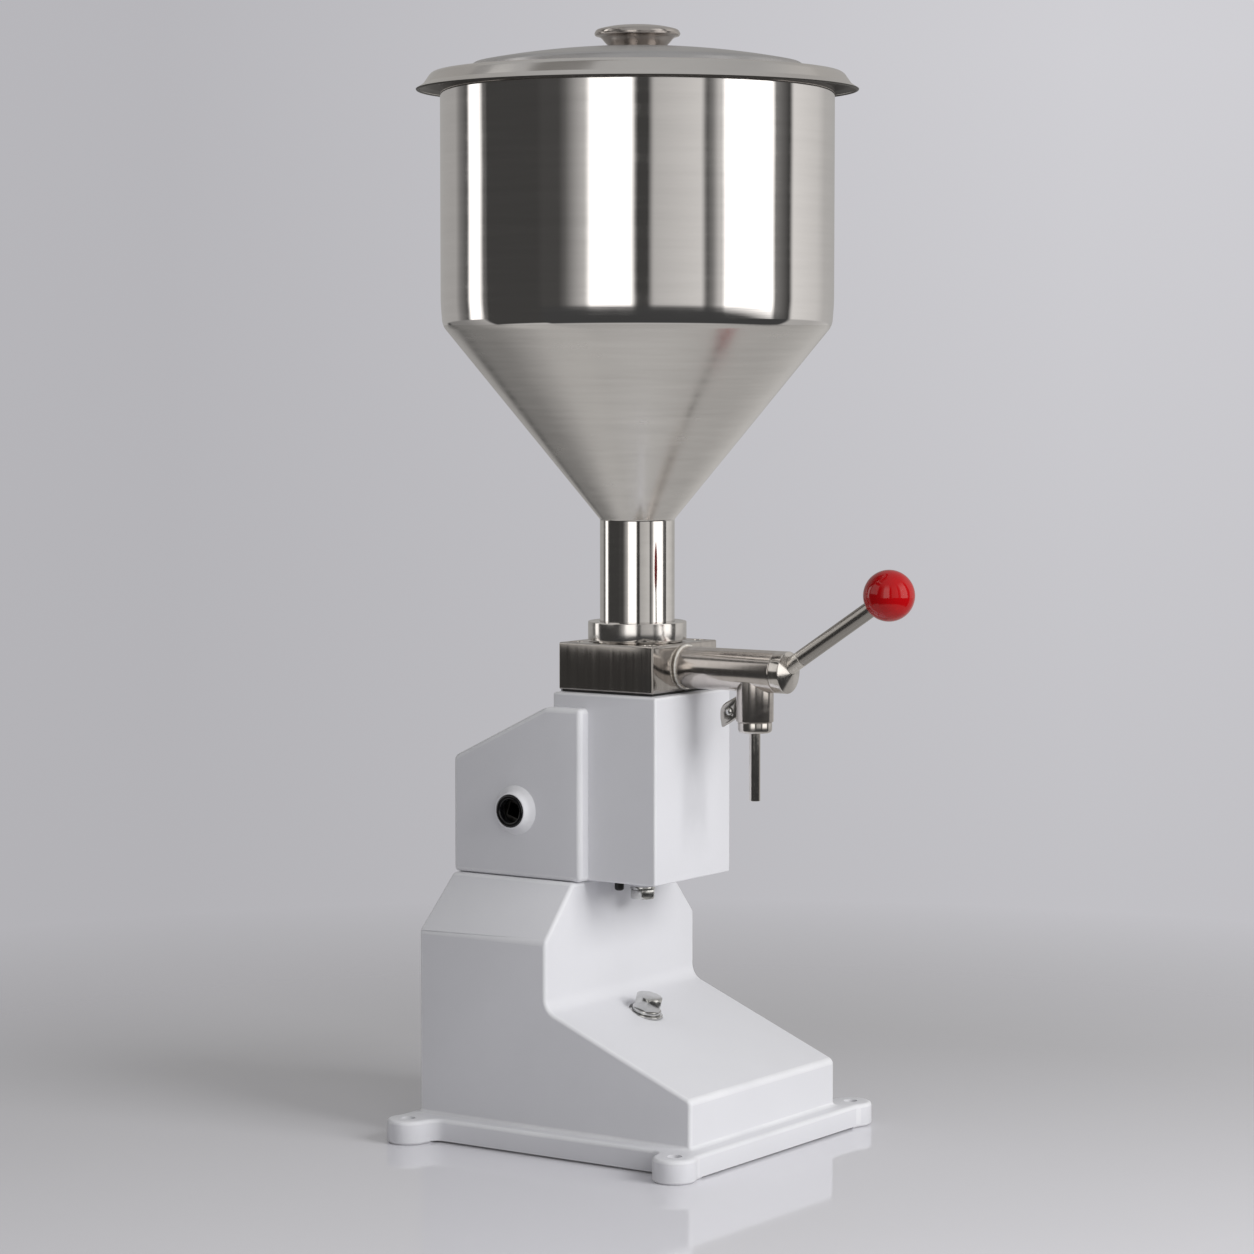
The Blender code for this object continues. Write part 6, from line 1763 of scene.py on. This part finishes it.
@dataclass
class Lid:
    """Domed lid and its knob."""

    sheet: float = 0.0012
    crown: float = 0.0171
    sag: float = 0.0112
    dome_radius: float = 0.1135
    dome_round: float = 0.0055
    foot_spread: float = 0.003
    ledge_radius: float = 0.1412
    ledge_round: float = 0.0065
    skirt_width: float = 0.006
    skirt_drop: float = 0.0085
    lip_width: float = 0.0051
    lip_drop: float = 0.0032
    lip_bead: float = 0.0011
    knob_height: float = 0.015
    knob_foot: float = 0.0194
    knob_rim: float = 0.0295
    rim_share: float = 0.61
    crown_profile: tuple[Point, ...] = ((0.0, 1.0), (0.30, 0.99), (0.60, 0.935), (0.85, 0.835), (0.955, 0.76))
    waist_profile: tuple[Point, ...] = ((0.93, 0.50), (0.60, 0.425), (0.30, 0.21))
    knob_bore: float = 0.0026
    knob_bore_depth: float = 0.0085
    dome_hole: float = 0.0027
    dome_share: float = 0.98
    foot_round: float = 0.001
    rim_round: float = 0.0012
    downward: float = -0.2

    def build(self) -> None:
        """Make and dress the lid."""
        ledge_z = NodeBox.of("hopper").high.z + SEAT_GAP + self.sheet
        steps = 24
        crown = []
        for step in range(steps):
            share = self.dome_share * step / steps
            crown.append((max(self.dome_radius * share, self.dome_hole), self.crown - self.sag * share ** 2, 0))
        rim = self.ledge_radius + self.skirt_width
        surface = rounded(crown + [
            (self.dome_radius, self.crown - self.sag, self.dome_round),
            (self.dome_radius + self.foot_spread, 0, self.foot_round),
            (self.ledge_radius, 0, self.ledge_round), (rim, -self.skirt_drop, self.rim_round),
            (rim + self.lip_width, -self.skirt_drop - self.lip_drop, 0)], closed=False, steps=8)
        sheet = sheet_loop(surface, self.sheet)
        tip, under = Vector(sheet[len(surface) - 1]), Vector(sheet[len(surface)])
        inward = (Vector(surface[-2]) - tip).normalized() * self.lip_bead
        middle = (tip + under) / 2 + inward
        start = math.atan2(tip.y - middle.y, tip.x - middle.x)
        bead = [tuple(middle + self.lip_bead * Vector((math.cos(start - turn), math.sin(start - turn))))
                for turn in (math.pi * step / 10 for step in range(11))]
        sheet[len(surface) - 1:len(surface) + 1] = bead
        piece = turned("lid_fine", sheet, LID_SATIN.material(), (0, 0, ledge_z), steps=256, ring=True)
        piece.data.materials.append(LID_BAND.material())
        piece.data.materials.append(LID_UNDERSIDE_SHADE.material())
        # Faces that point down get the painted shade of the underside; faces beyond the dome's foot get the polished
        # band.
        for polygon in piece.data.polygons:
            middle = polygon.center
            if polygon.normal.z < self.downward:
                polygon.material_index = 2
            elif math.hypot(middle.x, middle.y) > self.dome_radius + 2 * self.foot_spread:
                polygon.material_index = 1
        hand_over(piece, Body.LID, nodes=("lid_shell",))

        foot = NodeBox.of("lid_knob").high.z - self.knob_height
        span = self.knob_rim - self.knob_foot
        rim = (self.knob_rim, self.knob_height * self.rim_share)
        top = flowing([(self.knob_rim * share, self.knob_height * height) for share, height in self.crown_profile]
                      + [rim])
        waist = flowing([rim] + [(self.knob_foot + span * share, self.knob_height * height)
                                 for share, height in self.waist_profile] + [(self.knob_foot, 0.0)])
        profile = top + waist[1:] + [(self.knob_bore, 0.0), (self.knob_bore, self.knob_bore_depth),
                                     (0.0, self.knob_bore_depth)]
        hand_over(turned("lid_knob_fine", profile, KNOB_STEEL.material(), (0, 0, foot), steps=160), Body.LID,
                  nodes=("lid_knob",))
        dress_node("lid_screw", ZINC_PLATE.material())


# ---- studio ----


@dataclass(frozen=True)
class Panel:
    """A stretch of the studio's surroundings, as the polished steel sees it.

    Attributes:
        start: Where it starts, in degrees to the right of the camera, seen from the machine.
        end: Where it ends.
        level: Its brightness at the start.
        end_level: Its brightness at the end, if it differs.
    """

    start: float
    end: float
    level: float
    end_level: float | None = None


@dataclass(frozen=True)
class Lamp:
    """A soft square lamp aimed at the machine.

    Attributes:
        name: Name of the lamp.
        angle: Degrees to the right of the camera, seen from the machine.
        height: Its height above the bench.
        distance: How far it stands from the machine.
        size: Side of the square.
        power: Power in watts.
    """

    name: str
    angle: float
    height: float
    distance: float
    size: float
    power: float


@dataclass
class Studio:
    """Camera, surroundings, lamps and floor."""

    azimuth: float = math.radians(-55.61)
    elevation: float = math.radians(4.22)
    camera_place: tuple[float, float, float] = (-2.1628, -1.4717 + AXIS_Y, 0.549)
    lens: float = 108.42
    sensor: float = 36.0
    seam: float = 2.0
    panels: tuple[Panel, ...] = (
        Panel(-180, -132, 0.38, 0.36), Panel(-126, -117, 0.20, 0.08), Panel(-114, -105, 1.5),
        Panel(-101, -98, 0.12), Panel(-96, -68, 0.006), Panel(-64, -46, 0.06), Panel(-42, -30, 0.12, 0.5),
        Panel(-27, -4, 1.5), Panel(-1, 6, 0.05), Panel(9, 37, 0.46, 0.62), Panel(40, 44, 0.08, 0.2),
        Panel(48, 50, 0.55), Panel(52, 84, 1.6), Panel(87, 99, 0.2, 0.04), Panel(102, 128, 0.70, 0.58),
        Panel(140, 180, 0.45, 0.38))
    under_panels: tuple[Panel, ...] = (
        Panel(-180, -156, 0.38, 0.36), Panel(-151, -149, 0.06), Panel(-145, -124, 0.20, 0.22),
        Panel(-101, -60, 0.38, 0.42), Panel(60, 101, 0.46, 0.42), Panel(124, 145, 0.40, 0.48),
        Panel(156, 180, 0.54, 0.50))
    side_bands: tuple[Panel, ...] = (
        Panel(-90, -31, 0.48), Panel(-27, 5, 0.05), Panel(8, 40, 0.80), Panel(42, 50, 0.08),
        Panel(52, 54, 0.80), Panel(56, 90, 0.22))
    ceiling: float = 0.42
    ambient: float = 0.33
    shade: float = 0.05
    backdrop_left: tuple[Colour, Colour] = ((0.450, 0.445, 0.468), (0.475, 0.470, 0.495))
    backdrop_right: tuple[Colour, Colour] = ((0.534, 0.529, 0.556), (0.632, 0.627, 0.658))
    floor_colour: Colour = (0.62, 0.615, 0.645)
    # Painted light on the floor: how much lighter its colour is made toward the camera.
    painted_light_near_floor: float = 1.36
    warmth: Colour = (1.0, 0.975, 0.945)
    wall_fade: Point = (0.55, 0.80)
    front_angles: Point = (98, 102)
    shade_fade: Point = (-0.52, -0.60)
    foot_fade: Point = (-0.93, -0.99)
    foot_colour: Colour = (0.5, 0.49, 0.48)
    horizon_fade: Point = (-0.10, -0.14)
    side_start: Point = (-99, -96)
    side_end: Point = (-60, -56)
    backdrop_rise: Point = (-0.14, 0.077)
    backdrop_turn: Point = (-0.12, 0.12)
    ambient_blue: float = 1.02
    floor_roughness: float = 0.07
    floor_cloud: float = 3.0
    floor_dim: float = 0.985
    cloud_range: Point = (0.3, 0.7)
    near_reach: Point = (-0.35, 0.45)
    fade_reach: Point = (0.45, 1.15)
    lamp_aim: float = 0.3
    lamps: tuple[Lamp, ...] = (
        Lamp("key_lamp", 54, 1.3, 2.2, 1.3, 45.0), Lamp("front_lamp", 14, 1.0, 2.6, 0.8, 6.0),
        Lamp("top_lamp", -10, 2.4, 0.8, 1.2, 3.0))

    def camera(self) -> None:
        """Camera at the photograph's place."""
        data = bpy.data.cameras.new("studio_camera")
        data.lens = self.lens
        data.sensor_width = self.sensor
        data.sensor_fit = "HORIZONTAL"
        camera = bpy.data.objects.new("studio_camera", data)
        bpy.context.scene.collection.objects.link(camera)
        camera.location = self.camera_place
        back = Vector((math.sin(self.azimuth) * math.cos(self.elevation),
                       -math.cos(self.azimuth) * math.cos(self.elevation), math.sin(self.elevation)))
        camera.rotation_euler = back.to_track_quat("Z", "Y").to_euler()
        bpy.context.scene.camera = camera

    def ring(self, graph: Graph, share: Any, panels: tuple[Panel, ...], reach: float) -> bpy.types.NodeSocket:
        """Add a colour ramp of panels.

        Args:
            graph: Tree that gets the ramp.
            share: Place along the ramp, 0 to 1.
            panels: Panels in degrees.
            reach: Degrees from the ramp's middle to its ends.

        Returns:
            Colour at that place.
        """
        ramp = graph.node("ShaderNodeValToRGB", {0: share})
        elements = ramp.color_ramp.elements
        stops = []
        for panel in panels:
            end_level = panel.level if panel.end_level is None else panel.end_level
            stops += [(panel.start, panel.level), (panel.end, end_level)]
        while len(elements) < len(stops):
            elements.new(1.0)
        for element, (place, level) in zip(elements, stops):
            element.position = (place + reach) / (2 * reach)
            element.color = (*(level * tint for tint in self.warmth), 1.0)
        return ramp.outputs[0]

    def mirrored(self, graph: Graph, right: Any, behind: Any, height: Any) -> bpy.types.NodeSocket:
        """What polished steel sees in each direction.

        Args:
            graph: The world's graph.
            right: Share of the direction that points to the camera's right.
            behind: Share that points away from the camera.
            height: Share that points up.

        Returns:
            The colour.
        """
        angle = graph.maths("ARCTAN2", right, graph.maths("MULTIPLY", behind, -1))
        around = graph.span(angle, -math.pi, math.pi, 0.0, 1.0)
        climb = graph.span(graph.maths("ARCSINE", height), -math.pi / 2, math.pi / 2, 0.0, 1.0)
        wall = graph.blend(graph.span(height, *self.wall_fade, 0.0, 1.0), self.ring(graph, around, self.panels, 180),
                           (self.ceiling,) * 3 + (1.0,))
        under = self.ring(graph, around, self.under_panels, 180)
        front = graph.span(graph.maths("ABSOLUTE", angle), *map(math.radians, self.front_angles), 1.0, 0.0)
        shade = graph.blend(front, under, (self.shade,) * 3 + (1.0,))
        lower = graph.blend(graph.span(height, *self.shade_fade, 0.0, 1.0), shade, under)
        lower = graph.blend(graph.span(height, *self.foot_fade, 0.0, 1.0), lower, (*self.foot_colour, 1.0))
        seen = graph.blend(graph.span(height, *self.horizon_fade, 0.0, 1.0), wall, lower)
        side = graph.maths("MULTIPLY", graph.span(angle, *map(math.radians, self.side_start), 0.0, 1.0),
                           graph.span(angle, *map(math.radians, self.side_end), 1.0, 0.0))
        return graph.blend(side, seen, self.ring(graph, climb, self.side_bands, 90))

    def world(self) -> None:
        """Surroundings: a plain pale backdrop for the camera, panels for the steel, even light for the rest."""
        world = bpy.data.worlds.new("studio")
        bpy.context.scene.world = world
        world.use_nodes = True
        graph = Graph(world.node_tree)
        world.node_tree.nodes.clear()
        direction = graph.node("ShaderNodeTexCoord").outputs["Generated"]
        turned_away = graph.node("ShaderNodeMapping", {"Vector": direction, "Rotation": (0, 0, -self.azimuth)},
                                 vector_type="POINT").outputs[0]
        right, behind, height = graph.parts(turned_away)
        rise = graph.span(height, *self.backdrop_rise, 0.0, 1.0)
        backdrop = [graph.blend(rise, (*low, 1.0), (*high, 1.0))
                    for low, high in (self.backdrop_left, self.backdrop_right)]
        plain = graph.blend(graph.span(right, *self.backdrop_turn, 0.0, 1.0), *backdrop)
        even = (self.ambient, self.ambient, self.ambient * self.ambient_blue, 1.0)
        path = graph.node("ShaderNodeLightPath")
        seen = graph.blend(path.outputs["Is Glossy Ray"], even, self.mirrored(graph, right, behind, height))
        seen = graph.blend(path.outputs["Is Camera Ray"], seen, plain)
        light = graph.node("ShaderNodeBackground", {"Color": seen, "Strength": 1.0})
        out = graph.node("ShaderNodeOutputWorld")
        graph.tree.links.new(light.outputs[0], out.inputs["Surface"])

    def hang(self, lamp: Lamp) -> None:
        """Hang one lamp.

        Args:
            lamp: The lamp's place, size and power.
        """
        data = bpy.data.lights.new(lamp.name, "AREA")
        data.size = lamp.size
        data.energy = lamp.power
        hung = bpy.data.objects.new(lamp.name, data)
        bpy.context.scene.collection.objects.link(hung)
        toward = Vector((math.sin(self.azimuth), -math.cos(self.azimuth), 0))
        right = Vector((math.cos(self.azimuth), math.sin(self.azimuth), 0))
        turn = math.radians(lamp.angle)
        hung.location = ((toward * math.cos(turn) + right * math.sin(turn)) * lamp.distance
                         + Vector((0, 0, lamp.height)))
        hung.rotation_euler = (hung.location - Vector((0, 0, self.lamp_aim))).to_track_quat("Z", "Y").to_euler()
        hung.visible_glossy = False
        hung.visible_camera = False

    def floor(self) -> None:
        """Pale glossy floor that fades into the backdrop, with painted light that makes it lighter toward the camera.
        """
        form = bmesh.new()
        bmesh.ops.create_circle(form, cap_ends=True, segments=96, radius=self.seam)
        floor = mesh_object("studio_floor", form)
        material = bpy.data.materials.new("studio_floor")
        material.use_nodes = True
        graph = Graph(material.node_tree)
        shader = material.node_tree.nodes["Principled BSDF"]
        shader.inputs["Roughness"].default_value = self.floor_roughness
        place = graph.node("ShaderNodeTexCoord").outputs["Object"]
        distance = graph.node("ShaderNodeVectorMath", {0: place}, operation="LENGTH").outputs["Value"]
        cloud = graph.span(graph.noise(place, self.floor_cloud, 2.0), *self.cloud_range, 0.0, 1.0)
        colour = graph.blend(cloud, (*(c * self.floor_dim for c in self.floor_colour), 1.0),
                             (*self.floor_colour, 1.0))
        # Painted light: the floor's colour is made about a third lighter on the side toward the camera.
        across, along, _ = graph.parts(place)
        toward = graph.maths("ADD", graph.maths("MULTIPLY", across, math.sin(self.azimuth)),
                           graph.maths("MULTIPLY", along, -math.cos(self.azimuth)))
        near = graph.span(toward, *self.near_reach, 1.0, self.painted_light_near_floor)
        lift = graph.vector(near, near, near)
        graph.tree.links.new(graph.blend(1.0, colour, lift, "MULTIPLY"), shader.inputs["Base Color"])
        graph.tree.links.new(graph.span(distance, *self.fade_reach, 1.0, 0.0), shader.inputs["Alpha"])
        floor.data.materials.append(material)
        floor.visible_glossy = False

    def build(self) -> None:
        """Set up the whole studio."""
        self.camera()
        self.world()
        self.floor()
        for lamp in self.lamps:
            self.hang(lamp)
        bpy.context.scene.view_settings.view_transform = "Standard"


def main() -> None:
    """Build the studio and every sub-assembly, and report each."""
    logging.basicConfig(level=logging.INFO, format="%(name)s: %(message)s")
    Studio().build()
    for part in (Stand(), Head(), Pump(), Valve(), Outlet(), Hopper(), Lid()):
        part.build()
        LOG.info("%s is done", type(part).__name__)


if __name__ == "__main__":
    main()
